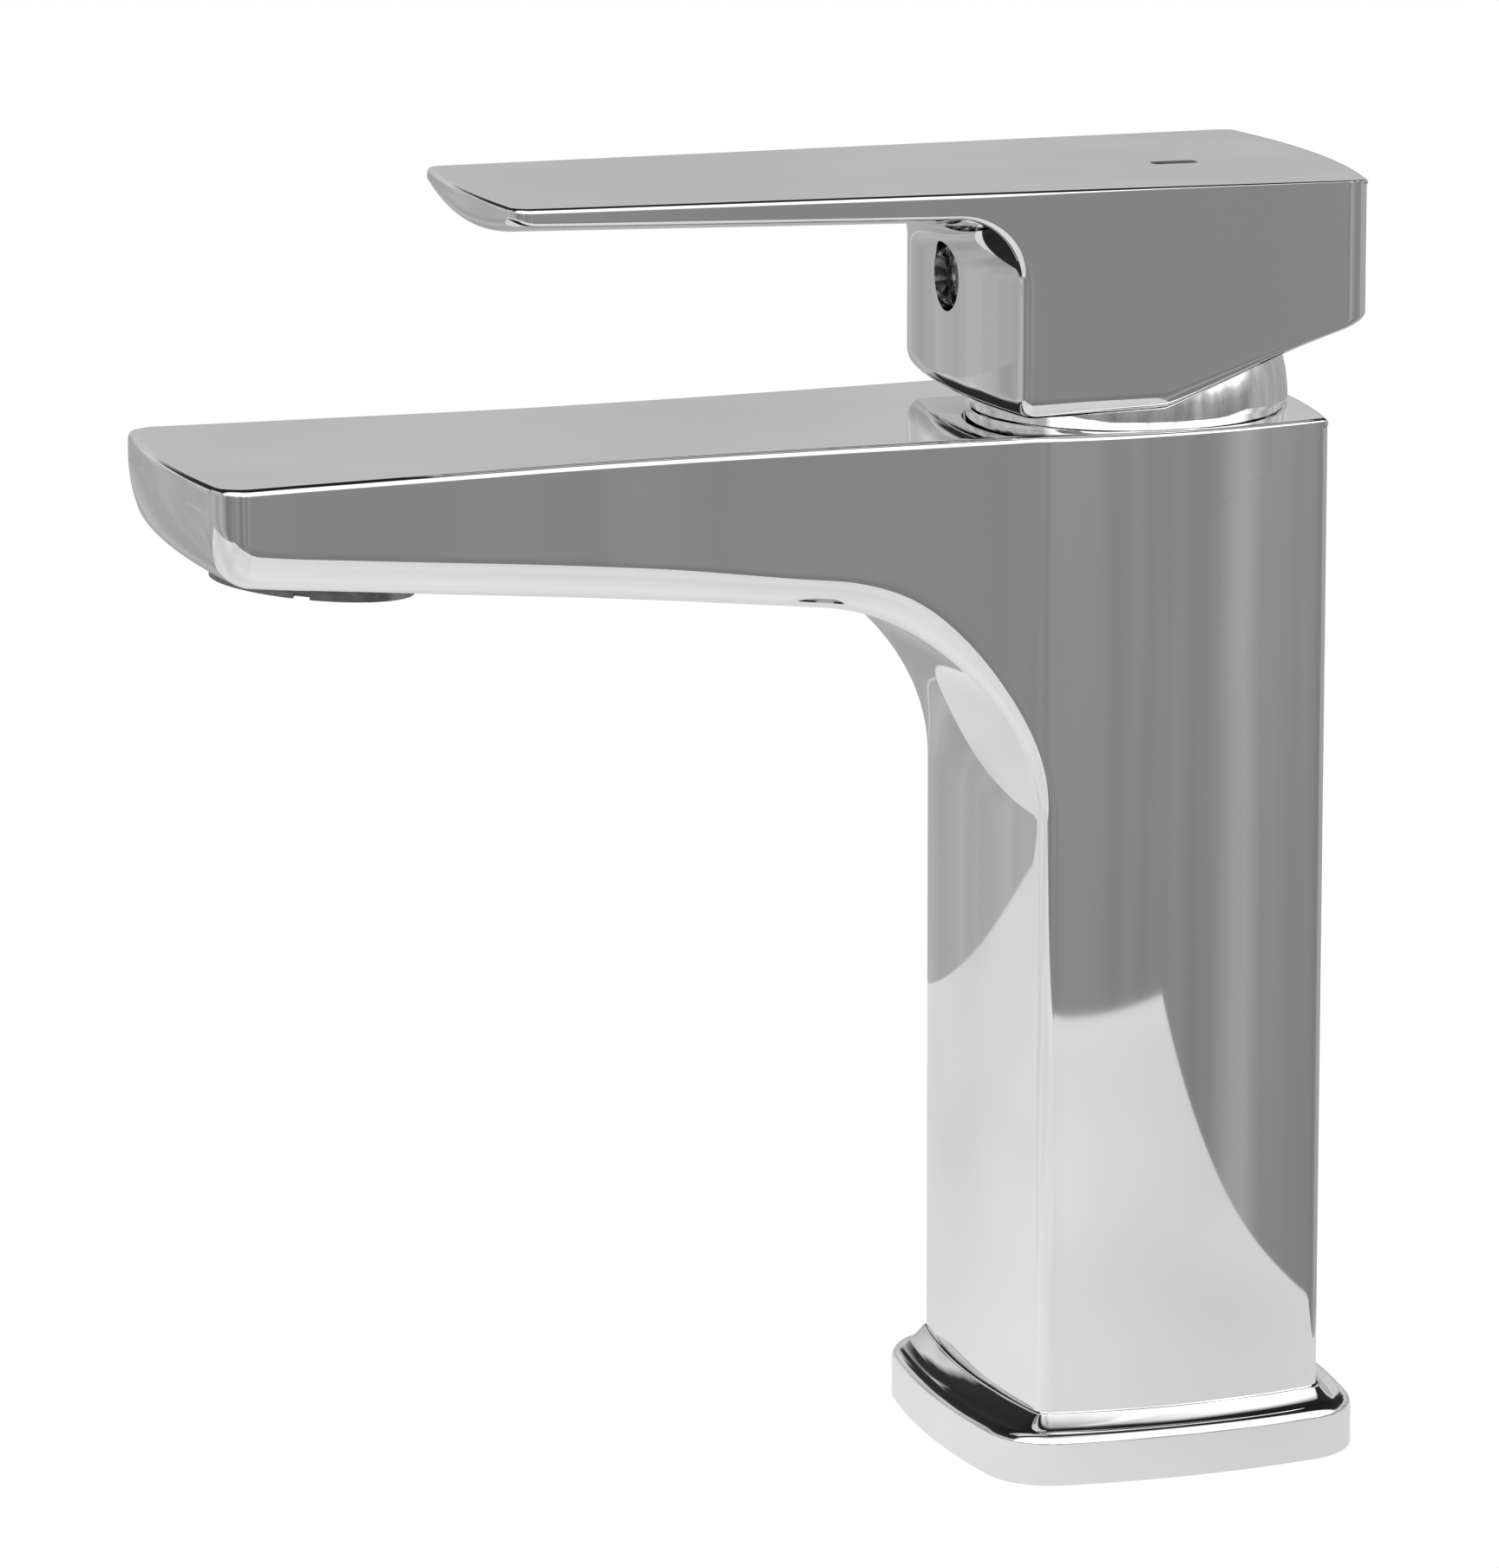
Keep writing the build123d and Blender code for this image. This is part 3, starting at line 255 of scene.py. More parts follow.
# column and spout as one hooked shape. The low line runs up the column's front, round the bend (centre plus
# the bend radius along each ray) and along the falling underside to the tip's rolled edge and curve; the high
# line runs up the back, round the edge and along the top
def makeBody():
    s = bodySetup
    tipStart = s["tipStart"]
    slope = np.radians(s["slope"])
    fall = np.tan(slope)
    underAt = lambda y: s["underAt"][1] - fall * (y - s["underAt"][0])
    centreY = -s["halfY"] - s["bendRadius"]
    centreZ = underAt(centreY) - s["bendRadius"] / np.cos(slope)
    # column, level rings
    z = np.array([s["foot"], *s["columnLevels"], centreZ - 1])
    columnLow = np.stack([np.full_like(z, -s["halfY"]), z], -1)
    columnHigh = np.stack([np.full_like(z, s["halfY"]), z], -1)
    # bend, rings fanned about its centre
    cornerAngle = np.arctan2(s["top"] - centreZ, s["halfY"] - centreY)
    fan = np.linspace(0, np.pi / 2 - slope, 110)
    turn = np.unique(np.concatenate([fan, cornerAngle + np.radians(np.linspace(-0.7, 0.7, 19))]))
    bendLow = np.array([centreY, centreZ]) + s["bendRadius"] * np.stack([np.cos(turn), np.sin(turn)], -1)
    bendHigh = outerCurve((centreY, centreZ), turn, s["halfY"], lambda y: s["top"] + 0 * y, s["edge"])
    # spout, rings that straighten up towards the tip
    run = np.linspace(bendLow[-1, 0], tipStart, 56)[1:]
    lean = (bendHigh[-1, 0] - bendLow[-1, 0]) * (run - tipStart) / (bendLow[-1, 0] - tipStart)
    spoutLow = np.stack([run, underAt(run)], -1)
    spoutHigh = np.stack([run + lean, np.full_like(run, s["top"])], -1)
    # tip, upright rings that close in along the rolled edge, the tip's curve and the corners
    share = np.linspace(1, 0, 74)[1:]
    y = s["tip"] + (tipStart - s["tip"]) * share ** s["tipSpread"]
    arcCentre = s["tip"] + s["tipRadius"]
    rollZ = underAt(0) + s["tipRoll"] / np.cos(slope)
    trial = np.linspace(s["tip"] + 0.8, tipStart, 4001)
    away = (trial - arcCentre) ** 2 + (rollZ - fall * trial - s["tipUpright"]) ** 2
    gap = away - (s["tipRadius"] - s["tipRoll"]) ** 2
    rollY = trial[np.argmin(np.abs(gap))]
    rollCentreZ = rollZ - fall * rollY
    rollStart = rollY - s["tipRoll"] * np.sin(slope)
    reach = np.array([rollY - arcCentre, rollCentreZ - s["tipUpright"]])
    rollEnd = arcCentre + reach[0] / np.linalg.norm(reach) * s["tipRadius"]
    roll = rollCentreZ - np.sqrt(np.maximum(s["tipRoll"] ** 2 - (y - rollY) ** 2, 0))
    curve = s["tipUpright"] - np.sqrt(np.maximum(s["tipRadius"] ** 2 - (y - arcCentre) ** 2, 0))
    tipLowZ = np.where(y > rollStart, underAt(y), np.where(y > rollEnd, roll, curve))
    ahead = np.clip(s["tip"] + s["edge"] - y, 0, s["edge"])
    tipHighZ = s["top"] - s["edge"] + np.sqrt(s["edge"] ** 2 - ahead**2)
    tipLow = np.stack([y, tipLowZ], -1)
    tipHigh = np.stack([y, tipHighZ], -1)
    low = np.concatenate([columnLow, bendLow, spoutLow, tipLow])
    high = np.concatenate([columnHigh, bendHigh, spoutHigh, tipHigh])
    column, spout, tip = len(z), len(run), len(y)
    degrees = np.degrees(turn)
    bendFrom, bendOver, bendGain = s["bendRound"]
    spoutFrom, spoutOver, spoutRound, spoutGain = s["spoutRound"]
    tipRound, tipShare = s["tipRound"]
    lowRound = np.concatenate([
        np.full(column, s["corner"]),
        s["corner"] + bendGain * eased((degrees - bendFrom) / bendOver),
        spoutRound + spoutGain * eased((spoutFrom - run) / spoutOver),
        np.minimum(tipRound, tipShare * (tipHighZ - tipLowZ)),
    ])
    onBack = high[:, 1] < s["top"] - s["edge"]
    highRound = np.where(onBack, s["plainRound"], s["edge"])
    lowBow = np.concatenate([
        np.full(column, s["bow"]), s["bow"] * (1 - eased(degrees / s["bowFades"])), np.zeros(spout + tip)
    ])
    highBow = s["bow"] * eased((high[:, 0] - s["backBowFrom"]) / (s["halfY"] - s["backBowFrom"]))
    rings = hookRings(low, high, bodyWidth, lowRound, highRound, lowBow, highBow, s["counts"])
    # the tip face is bowed
    forward = eased((tipStart - rings[..., 1]) / (tipStart - s["tip"]))
    rings[..., 1] += s["tipBow"] * forward * (rings[..., 0] / 18) ** 2
    ends = [(0, 0, s["foot"]), (0, s["tip"], (tipLowZ[-1] + tipHighZ[-1]) / 2)]
    body = skinRings("bodyCasting", rings, ends)
    c, a = chamberSetup, aeratorSetup
    chamber = turnProfile("chamberCut", [
        (c["radius"], c["floor"]), (c["radius"], c["nutFloor"]), (c["nutRadius"], c["nutFloor"]),
        (c["nutRadius"], c["rim"]),
    ])
    lift = Vector((0, np.sin(slope), np.cos(slope)))
    mouth = Vector((0, a["y"], underAt(a["y"]))) - lift * a["out"]
    bore = turnProfile("aeratorCut", [(a["bore"], 0), (a["bore"], a["out"] + a["depth"])], mouth, lift)
    ports = [turnProfile("portCut", [(r, 0), (r, top)], (x, py, 0)) for x, py, r, top in portSetup]
    cutAway(body, [chamber, bore] + ports)
    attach(body, "faucet_body")
    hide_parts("body")
    boss = turnProfile("domeSeat", bossSetup)
    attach(boss, "faucet_body")
    boss.data.set_sharp_from_angle(angle=np.radians(30))
    return body, boss


leverSetup = {
    "midWidth": 22.08, "taper": 0.0388,
    "top": 162.45, "rise": 0.0122, "edge": 0.6,
    "tip": -86.6, "tipBow": 1.1, "tipCorner": 2.6, "tipCurl": 3.2, "tipFace": 1.9,
    "edgeDepth": 2.05, "edgeGain": 0.0176, "belly": 2.6,
    "frontY": -24.0, "frontBow": 2.5, "frontCorner": 1.2, "cove": 6.0,
    "back": 25.6, "backBow": 2.5, "backCorner": 3.4,
    "bottom": 134.6, "sideBottom": 137.2, "reliefY": -3.0, "relief": 0.3057,
    "bevelIn": 1.8, "tipStart": -82.0, "cornerSlack": 0.5, "edgeRound": 0.5, "plainRound": 0.02,
    "bowForward": -78.0, "tipBelly": 0.56, "backBowFrom": -5.0, "tipSpread": 2.2, "coveGap": 0.3,
    "counts": (44, 8, 46), "reliefOver": 20.0,
    "pivot": 133.0, "hollowRadius": 20.6, "hollowTop": 147.0, "hollowRim": 8.05,
    "screwZ": 149.3, "screwRadius": 4.35, "screwDepth": 9.0, "screwAhead": 3.0,
}


# the lever's half width grows by the taper for each millimetre towards the back
def leverWidth(y):
    s = leverSetup
    width = s["midWidth"] + s["taper"] * y
    backCentre = s["back"] - s["backBow"] - s["backCorner"] + s["cornerSlack"]
    return planHalfWidth(y, width, backCentre, s["backCorner"], s["tip"] + s["tipCorner"], s["tipCorner"])


# head and blade as one hooked shape: the low line runs up the head's front, round the cove (centre plus its
# radius along each ray) and along the blade's belly, whose depth below the top grows evenly from the tip
def makeLever():
    s = leverSetup
    tipStart = s["tipStart"]
    topAt = lambda y: s["top"] - s["rise"] * y
    depthAt = lambda y: s["edgeDepth"] + s["edgeGain"] * (y - s["tip"]) + s["belly"]
    underAt = lambda y: topAt(y) - depthAt(y)
    lowerEdge = lambda y: s["sideBottom"] + s["relief"] * np.maximum(y - s["reliefY"], 0)
    centre = (s["frontY"] - s["cove"], underAt(s["frontY"] - s["cove"]) - s["cove"])
    # head, rings from the lower edge up to the hollow under the blade
    share = np.linspace(0, 1, 40)
    lowZ = s["sideBottom"] + share * (centre[1] - s["sideBottom"] - s["coveGap"])
    headLow = np.stack([np.full(40, s["frontY"]), lowZ], -1)
    backBottom = lowerEdge(s["back"])
    highZ = backBottom + share * (centre[1] - backBottom - s["coveGap"])
    headHigh = np.stack([np.full(40, s["back"]), highZ], -1)
    cornerAngle = np.arctan2(topAt(s["back"]) - centre[1], s["back"] - centre[0])
    fan = np.linspace(0, np.pi / 2 - 0.03, 60)
    turn = np.unique(np.concatenate([fan, cornerAngle + np.radians(np.linspace(-0.9, 0.9, 17))]))
    coveLow = np.array(centre) + s["cove"] * np.stack([np.cos(turn), np.sin(turn)], -1)
    coveHigh = outerCurve(centre, turn, s["back"], topAt, s["edge"])
    run = np.linspace(coveLow[-1, 0], tipStart, 44)[1:]
    bladeLow = np.stack([run, underAt(run)], -1)
    bladeHigh = np.stack([run, topAt(run)], -1)
    fade = np.linspace(1, 0, 44)[1:]
    y = s["tip"] + (tipStart - s["tip"]) * fade ** s["tipSpread"]
    curl = np.clip((s["tip"] + s["tipCurl"] - y) / s["tipCurl"], 0, 1)
    lifted = (depthAt(y) - s["tipFace"]) * (1 - np.sqrt(1 - curl**2))
    tipLow = np.stack([y, underAt(y) + lifted], -1)
    ahead = np.clip(s["tip"] + s["edge"] - y, 0, s["edge"])
    tipHigh = np.stack([y, topAt(y) - s["edge"] + np.sqrt(s["edge"] ** 2 - ahead**2)], -1)
    low = np.concatenate([headLow, coveLow, bladeLow, tipLow])
    high = np.concatenate([headHigh, coveHigh, bladeHigh, tipHigh])
    height = np.linalg.norm(high - low, axis=1)
    head, blade, tip = len(headLow), len(run), len(y)
    swing = eased(turn / (np.pi / 2))
    lowRound = np.concatenate([
        np.full(head, s["frontCorner"]),
        s["frontCorner"] + (s["edgeRound"] - s["frontCorner"]) * swing,
        np.full(blade, s["edgeRound"]),
        np.minimum(s["edgeRound"], 0.2 * height[-tip:]),
    ])
    onBack = high[:, 1] < topAt(s["back"]) - s["edge"]
    highRound = np.where(onBack, s["plainRound"], s["edge"])
    highRound[-tip:] = np.minimum(s["edge"], 0.25 * height[-tip:])
    lowBow = np.concatenate([
        np.full(head, s["frontBow"]),
        s["frontBow"] + (s["belly"] - s["frontBow"]) * swing,
        np.full(blade, s["belly"]),
        np.minimum(s["belly"], s["tipBelly"] * height[-tip:]),
    ])
    highBow = s["backBow"] * eased((high[:, 0] - s["backBowFrom"]) / (s["back"] - s["backBowFrom"]))
    rings = hookRings(low, high, leverWidth, lowRound, highRound, lowBow, highBow, s["counts"])
    # the lower edge of the head is level in front and slopes up behind
    headY = rings[:head, :, 1]
    even = (backBottom - s["sideBottom"]) * (headY - s["frontY"]) / (s["back"] - s["frontY"])
    slack = lowerEdge(headY) - (s["sideBottom"] + even)
    rings[:head, :, 2] += slack * (1 - share[:, None])
    forward = eased((s["bowForward"] - rings[..., 1]) / (s["bowForward"] - s["tip"]))
    rings[..., 1] += s["tipBow"] * forward * (rings[..., 0] / 18) ** 2 * (rings[..., 1] < -70)
    # rounding under the head's lower edge
    bevel = np.linspace(0, np.pi / 2, 12)[::-1][:-1]
    edgeRing = rings[0]
    inward = -edgeRing[:, :2] / np.linalg.norm(edgeRing[:, :2] / np.array([1.0, 1.1]), axis=1)[:, None]
    rolled = np.repeat(edgeRing[None], len(bevel), 0)
    rolled[:, :, :2] += (s["bevelIn"] * (1 - np.cos(bevel)))[:, None, None] * inward
    shallow = 0.5 * eased((edgeRing[:, 1] - s["reliefY"]) / s["reliefOver"])
    drop = (s["sideBottom"] - s["bottom"]) * (1 - shallow)
    rolled[:, :, 2] -= np.sin(bevel)[:, None] * drop
    rings = np.concatenate([rolled, rings])
    ends = [(0, 0, s["bottom"] + 1.0), (0, s["tip"], (low[-1, 1] + high[-1, 1]) / 2)]
    lever = skinRings("leverCasting", rings, ends)
    # hollow for the dome, then the screw hole
    lean = np.radians(np.linspace(-90, 67, 60))
    radius, axis = s["hollowRadius"], 0.01
    dome = np.stack([radius * np.cos(lean), s["pivot"] + radius * np.sin(lean)], -1).tolist()
    dome[0][0] = axis
    hollow = turnProfile("hollowCut", dome + [(s["hollowRim"], s["hollowTop"]), (axis, s["hollowTop"])])
    mouth = (0, s["frontY"] - s["screwAhead"], s["screwZ"])
    walls = [(s["screwRadius"], 0), (s["screwRadius"], s["screwDepth"])]
    hole = turnProfile("holeCut", walls, mouth, (0, 1, 0), 128)
    cutAway(lever, [hollow, hole])
    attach(lever, "lever")
    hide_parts("handle")
    return lever


body, boss = makeBody()
print("body ready", len(body.data.polygons))
lever = makeLever()
print("lever ready", len(lever.data.polygons))

# closed outline with four bowed faces; each quarter is a face arc, a corner arc and the next face arc.
# The circles of the faces pass through the corners and the middle of the face, and the corner's circle
# touches both from inside; returns points and outward normals
def bowedOutline(halfX, halfY, bow, corner):
    bigX = ((halfY - bow) ** 2 + bow**2) / (2 * bow)
    bigY = ((halfX - bow) ** 2 + bow**2) / (2 * bow)
    centreX, centreY = halfX - bigX, halfY - bigY
    spot = np.array([halfX - bow - corner, halfY - bow - corner])
    for attempt in range(20):
        fromX = spot - np.array([centreX, 0])
        fromY = spot - np.array([0, centreY])
        miss = np.array([fromX @ fromX - (bigX - corner) ** 2, fromY @ fromY - (bigY - corner) ** 2])
        spot = spot - np.linalg.solve(2 * np.stack([fromX, fromY]), miss)
    low = np.arctan2(spot[1], spot[0] - centreX)
    high = np.arctan2(spot[1] - centreY, spot[0])
    first = np.linspace(0, low, 24, endpoint=False)
    middle = np.linspace(low, high, 20, endpoint=False)
    last = np.linspace(high, np.pi / 2, 24, endpoint=False)
    angle = np.concatenate([first, middle, last])
    ray = np.stack([np.cos(angle), np.sin(angle)], -1)
    points = np.concatenate([
        np.array([centreX, 0]) + bigX * ray[:24],
        spot + corner * ray[24:44],
        np.array([0, centreY]) + bigY * ray[44:],
    ])
    quarters, normals = [points], [ray]
    mirrored = points[1:][::-1] * np.array([-1, 1])
    quarters.append(np.vstack([[[0, halfY]], mirrored]))
    normals.append(np.vstack([[[0, 1]], ray[1:][::-1] * np.array([-1, 1])]))
    half = np.vstack(quarters)
    halfNormals = np.vstack(normals)
    return np.vstack([half, -half]), np.vstack([halfNormals, -halfNormals])


flangeSetup = {
    "outer": (26.3, 25.8, 2.5, 9.0), "column": (23.15, 20.8, 2.1, 1.7),
    "flat": 6.7, "edge": 1.5, "footEdge": 0.3, "skirt": 8.4, "skirtWidth": 2.3, "rim": 0.55, "gap": 0.1,
    "pocket": 4.5, "opening": 15.0,
}


# square plate: outlines moved in along their normals, up the rounded edge, along the flat, up the skirt and
# down into the column's pocket, then in to the round opening and back
def makeFlange():
    s = flangeSetup
    outer, outerWay = bowedOutline(*s["outer"])
    column, columnWay = bowedOutline(*s["column"])
    count = len(outer)
    rings = []

    def addRing(line, way, inset, z):
        rings.append(np.hstack([line - way * inset, np.full((count, 1), z)]))

    for angle in np.linspace(0, np.pi / 2, 6):
        addRing(outer, outerWay, s["footEdge"] * (1 - np.sin(angle)), s["footEdge"] * (1 - np.cos(angle)))
    for angle in np.linspace(0, np.pi / 2, 14):
        addRing(outer, outerWay, s["edge"] * (1 - np.cos(angle)), s["flat"] - s["edge"] * (1 - np.sin(angle)))
    # skirt: a hollow curve up to the narrow rim round the column
    for share in np.linspace(0, 1, 12):
        reach = s["skirtWidth"] + (s["rim"] - s["skirtWidth"]) * share
        addRing(column, columnWay, -reach, s["flat"] + (s["skirt"] - s["flat"]) * share**1.25)
    for angle in np.linspace(0, np.pi / 2, 6)[1:]:
        addRing(column, columnWay, -(s["rim"] - 0.25 * (1 - np.cos(angle))), s["skirt"])
    addRing(column, columnWay, -s["gap"], s["skirt"] - 0.02)
    addRing(column, columnWay, -s["gap"], s["pocket"])
    spin = np.arctan2(outer[:, 1], outer[:, 0])
    circle = s["opening"] * np.stack([np.cos(spin), np.sin(spin)], -1)
    for z in (s["pocket"], 0.0):
        rings.append(np.hstack([circle, np.full((count, 1), z)]))
    flange = skinBand("flangePlate", np.array(rings))
    flange.data.set_sharp_from_angle(angle=np.radians(32))
    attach(flange, "faucet_body")
    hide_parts("base_flange")
    return flange


domeSetup = {"radius": 20.1, "inner": 17.8, "pivot": 133.0, "low": 133.1, "top": 144.0, "rim": 0.5}


# ball shell about the tilt axis: radius times the cosine of the lean out, pivot plus radius times its sine up
def makeDome():
    s = domeSetup
    rise = np.arcsin((s["top"] - s["pivot"] - s["rim"]) / s["radius"])
    lean = np.linspace(np.arcsin((s["low"] - s["pivot"]) / s["radius"]), rise, 40)
    shell = np.stack([s["radius"] * np.cos(lean), s["pivot"] + s["radius"] * np.sin(lean)], -1)
    edge = np.linspace(rise, np.pi / 2, 8)[1:]
    centre = shell[-1] - s["rim"] * np.array([np.cos(rise), np.sin(rise)])
    rim = centre + s["rim"] * np.stack([np.cos(edge), np.sin(edge)], -1)
    back = np.linspace(np.arcsin((s["top"] - s["pivot"] - 0.3) / s["inner"]), 0.02, 24)
    inside = np.stack([s["inner"] * np.cos(back), s["pivot"] + s["inner"] * np.sin(back)], -1)
    profile = np.vstack([shell, rim, [[rim[-1, 0] - 0.5, s["top"]]], inside])
    angle = np.linspace(0, 2 * np.pi, 160, endpoint=False)
    spoke = np.stack([np.cos(angle), np.sin(angle)], -1)
    rings = np.concatenate([
        profile[:, 0, None, None] * spoke, np.broadcast_to(profile[:, 1, None, None], (len(profile), 160, 1))
    ], -1)
    dome = skinBand("domeShell", rings)
    dome.data.set_sharp_from_angle(angle=np.radians(40))
    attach(dome, "faucet_body")
    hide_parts("dome_collar")
    return dome


markSetup = {"x": 2.8, "y": 5.0, "halfX": 1.0, "halfY": 3.0, "proud": 0.04, "deep": 0.5}


# flat bar, its top a hair above the lever; its plan is the half size times the cosine or sine raised to a
# small power with its sign kept, which squares off an ellipse
def makeMark():
    s = markSetup
    angle = np.linspace(0, 2 * np.pi, 64, endpoint=False)
    cosine, sine = np.cos(angle), np.sin(angle)
    around = np.stack([
        s["halfX"] * np.sign(cosine) * np.abs(cosine) ** 0.4,
        s["halfY"] * np.sign(sine) * np.abs(sine) ** 0.25,
    ], -1)
    rings = []
    for inset, height in ((0, -s["deep"]), (0, 0.0), (0.06, s["proud"])):
        plan = around * (1 - inset) + np.array([s["x"], s["y"]])
        top = leverSetup["top"] - leverSetup["rise"] * plan[:, 1:] + height
        rings.append(np.hstack([plan, top]))
    level = leverSetup["top"] - leverSetup["rise"] * s["y"]
    ends = [(s["x"], s["y"], level - s["deep"]), (s["x"], s["y"], level + s["proud"])]
    mark = skinRings("hotColdMark", np.array(rings), ends)
    mark.data.set_sharp_from_angle(angle=np.radians(30))
    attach(mark, "lever")
    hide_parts("index_mark")
    return mark


capSetup = {"y": -19.4, "z": 149.3, "radius": 4.15, "flat": 0.3, "wall": 1.7, "crown": 1.5}


# domed plug in the screw hole: a straight wall, then a quarter ellipse towards its middle
def makeCap():
    s = capSetup
    lean = np.linspace(0, np.pi / 2, 16)[:-1]
    out = s["flat"] + (s["radius"] - s["flat"]) * np.cos(lean)
    crown = np.stack([out, s["wall"] + s["crown"] * np.sin(lean)], -1)
    base = (0, s["y"], s["z"])
    cap = turnProfile("capPlug", [(s["radius"], 0.0)] + crown.tolist(), base, (0, -1, 0), 72)
    cap.data.set_sharp_from_angle(angle=np.radians(40))
    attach(cap, "lever")
    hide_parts("screw_cap")
    return cap


flange, dome, mark, cap = makeFlange(), makeDome(), makeMark(), makeCap()
print("small pieces ready")


# ---- finishes ----
# noise at a chosen grain size: mask 0 to 1, and a normal with the same relief
def makeGrainGroup():
    group = bpy.data.node_groups.new("surfaceGrain", "ShaderNodeTree")
    defaults = (("Scale", 100.0), ("Detail", 2.0), ("Stretch", 1.0), ("Relief", 0.1), ("Depth", 0.001))
    for name, value in defaults:
        group.interface.new_socket(name, in_out="INPUT", socket_type="NodeSocketFloat").default_value = value
    group.interface.new_socket("Mask", in_out="OUTPUT", socket_type="NodeSocketFloat")
    group.interface.new_socket("Normal", in_out="OUTPUT", socket_type="NodeSocketVector")
    nodes, links = group.nodes, group.links
    source, result = nodes.new("NodeGroupInput"), nodes.new("NodeGroupOutput")
    coords = nodes.new("ShaderNodeTexCoord")
    stretch = nodes.new("ShaderNodeCombineXYZ")
    stretch.inputs[0].default_value = 1.0
    stretch.inputs[1].default_value = 1.0
    links.new(source.outputs["Stretch"], stretch.inputs[2])
    scaled = nodes.new("ShaderNodeVectorMath")
    scaled.operation = "MULTIPLY"
    links.new(coords.outputs["Object"], scaled.inputs[0])
    links.new(stretch.outputs[0], scaled.inputs[1])
    noise = nodes.new("ShaderNodeTexNoise")
    links.new(scaled.outputs[0], noise.inputs["Vector"])
    links.new(source.outputs["Scale"], noise.inputs["Scale"])
    links.new(source.outputs["Detail"], noise.inputs["Detail"])
    bump = nodes.new("ShaderNodeBump")
    links.new(source.outputs["Relief"], bump.inputs["Strength"])
    links.new(source.outputs["Depth"], bump.inputs["Distance"])
    links.new(noise.outputs["Fac"], bump.inputs["Height"])
    links.new(noise.outputs["Fac"], result.inputs["Mask"])
    links.new(bump.outputs[0], result.inputs["Normal"])
    return group


grain = makeGrainGroup()

# dark and light colour, low and high roughness, metallic, then the grain's scale, detail, stretch,
# relief and depth
finishSetup = {
    "chrome": (
        (0.85, 0.85, 0.855), (0.93, 0.93, 0.935), 0.02, 0.05, 1.0, (34.0, 1.0, 0.35, 1.0, 0.00022),
    ),
    # satin chrome for the aerator, a darker copy of the chrome finish: its dark base colour is painted shade,
    # standing in for the darkness it reflects under the spout
    "aerator_chrome": (
        (0.16, 0.16, 0.17), (0.34, 0.34, 0.35), 0.22, 0.36, 1.0, (900.0, 3.0, 1.0, 0.3, 0.0001),
    ),
    "cap_plastic": (
        (0.006, 0.006, 0.007), (0.02, 0.02, 0.022), 0.06, 0.16, 0.0, (500.0, 2.0, 1.0, 0.2, 0.00005),
    ),
    "mark_enamel": (
        (0.045, 0.045, 0.05), (0.09, 0.09, 0.095), 0.3, 0.42, 0.0, (1800.0, 3.0, 1.0, 0.3, 0.00004),
    ),
    "rubber": (
        (0.012, 0.012, 0.012), (0.035, 0.035, 0.035), 0.6, 0.8, 0.0, (1500.0, 4.0, 1.0, 0.5, 0.0001),
    ),
    "cartridge_plastic": (
        (0.62, 0.63, 0.64), (0.72, 0.73, 0.74), 0.35, 0.5, 0.0, (900.0, 3.0, 1.0, 0.25, 0.00005),
    ),
    "limit_plastic": (
        (0.5, 0.05, 0.035), (0.62, 0.08, 0.05), 0.35, 0.5, 0.0, (900.0, 3.0, 1.0, 0.25, 0.00005),
    ),
    "ceramic": (
        (0.78, 0.77, 0.74), (0.86, 0.85, 0.82), 0.12, 0.22, 0.0, (2500.0, 2.0, 1.0, 0.15, 0.00003),
    ),
    "brass": (
        (0.62, 0.44, 0.2), (0.76, 0.57, 0.29), 0.2, 0.36, 1.0, (700.0, 4.0, 0.1, 0.3, 0.00005),
    ),
    "steel": (
        (0.42, 0.42, 0.43), (0.6, 0.6, 0.61), 0.2, 0.34, 1.0, (900.0, 4.0, 0.15, 0.3, 0.00005),
    ),
    "insert_plastic": (
        (0.22, 0.22, 0.23), (0.32, 0.32, 0.33), 0.4, 0.55, 0.0, (900.0, 3.0, 1.0, 0.3, 0.00006),
    ),
}


def makeFinish(name, setup):
    dark, light, smooth, rough, metal, grainValues = setup
    finish = bpy.data.materials.new(name + "Finish")
    finish.use_nodes = True
    tree = finish.node_tree
    shader = tree.nodes["Principled BSDF"]
    shader.inputs["Metallic"].default_value = metal
    work = tree.nodes.new("ShaderNodeGroup")
    work.node_tree = grain
    for socket, value in zip(("Scale", "Detail", "Stretch", "Relief", "Depth"), grainValues):
        work.inputs[socket].default_value = value
    tint = tree.nodes.new("ShaderNodeMix")
    tint.data_type = "RGBA"
    tint.inputs["A"].default_value = (*dark, 1)
    tint.inputs["B"].default_value = (*light, 1)
    tree.links.new(work.outputs["Mask"], tint.inputs["Factor"])
    tree.links.new(tint.outputs["Result"], shader.inputs["Base Color"])
    polish = tree.nodes.new("ShaderNodeMapRange")
    polish.inputs["To Min"].default_value = smooth
    polish.inputs["To Max"].default_value = rough
    tree.links.new(work.outputs["Mask"], polish.inputs["Value"])
    tree.links.new(polish.outputs[0], shader.inputs["Roughness"])
    tree.links.new(work.outputs["Normal"], shader.inputs["Normal"])
    return finish


finishes = {name: makeFinish(name, setup) for name, setup in finishSetup.items()}
nodeFinish = {entry["node"]: entry["material_slot"] for entry in frame["record"]["subparts"]}

# ---- studio ----
# white to the camera; reflections see a dark ceiling, a wide light on the camera's side and grey walls
# (height, level) from straight down at 0 to straight up at 1, behind the part and on the camera's side
studioSetup = {
    "behind": (
        (0.0, 0.40), (0.48, 0.42), (0.53, 0.44), (0.60, 0.56), (0.64, 0.62), (0.67, 0.03), (0.9, 0.015),
        (1.0, 0.015),
    ),
    "facing": (
        (0.0, 0.20), (0.38, 0.24), (0.44, 0.27), (0.5, 0.33), (0.54, 0.6), (0.57, 1.4), (0.90, 1.5),
        (1.0, 0.02),
    ),
    "sheet": ((-0.236, -0.45), (0.256, 0.068)),
}


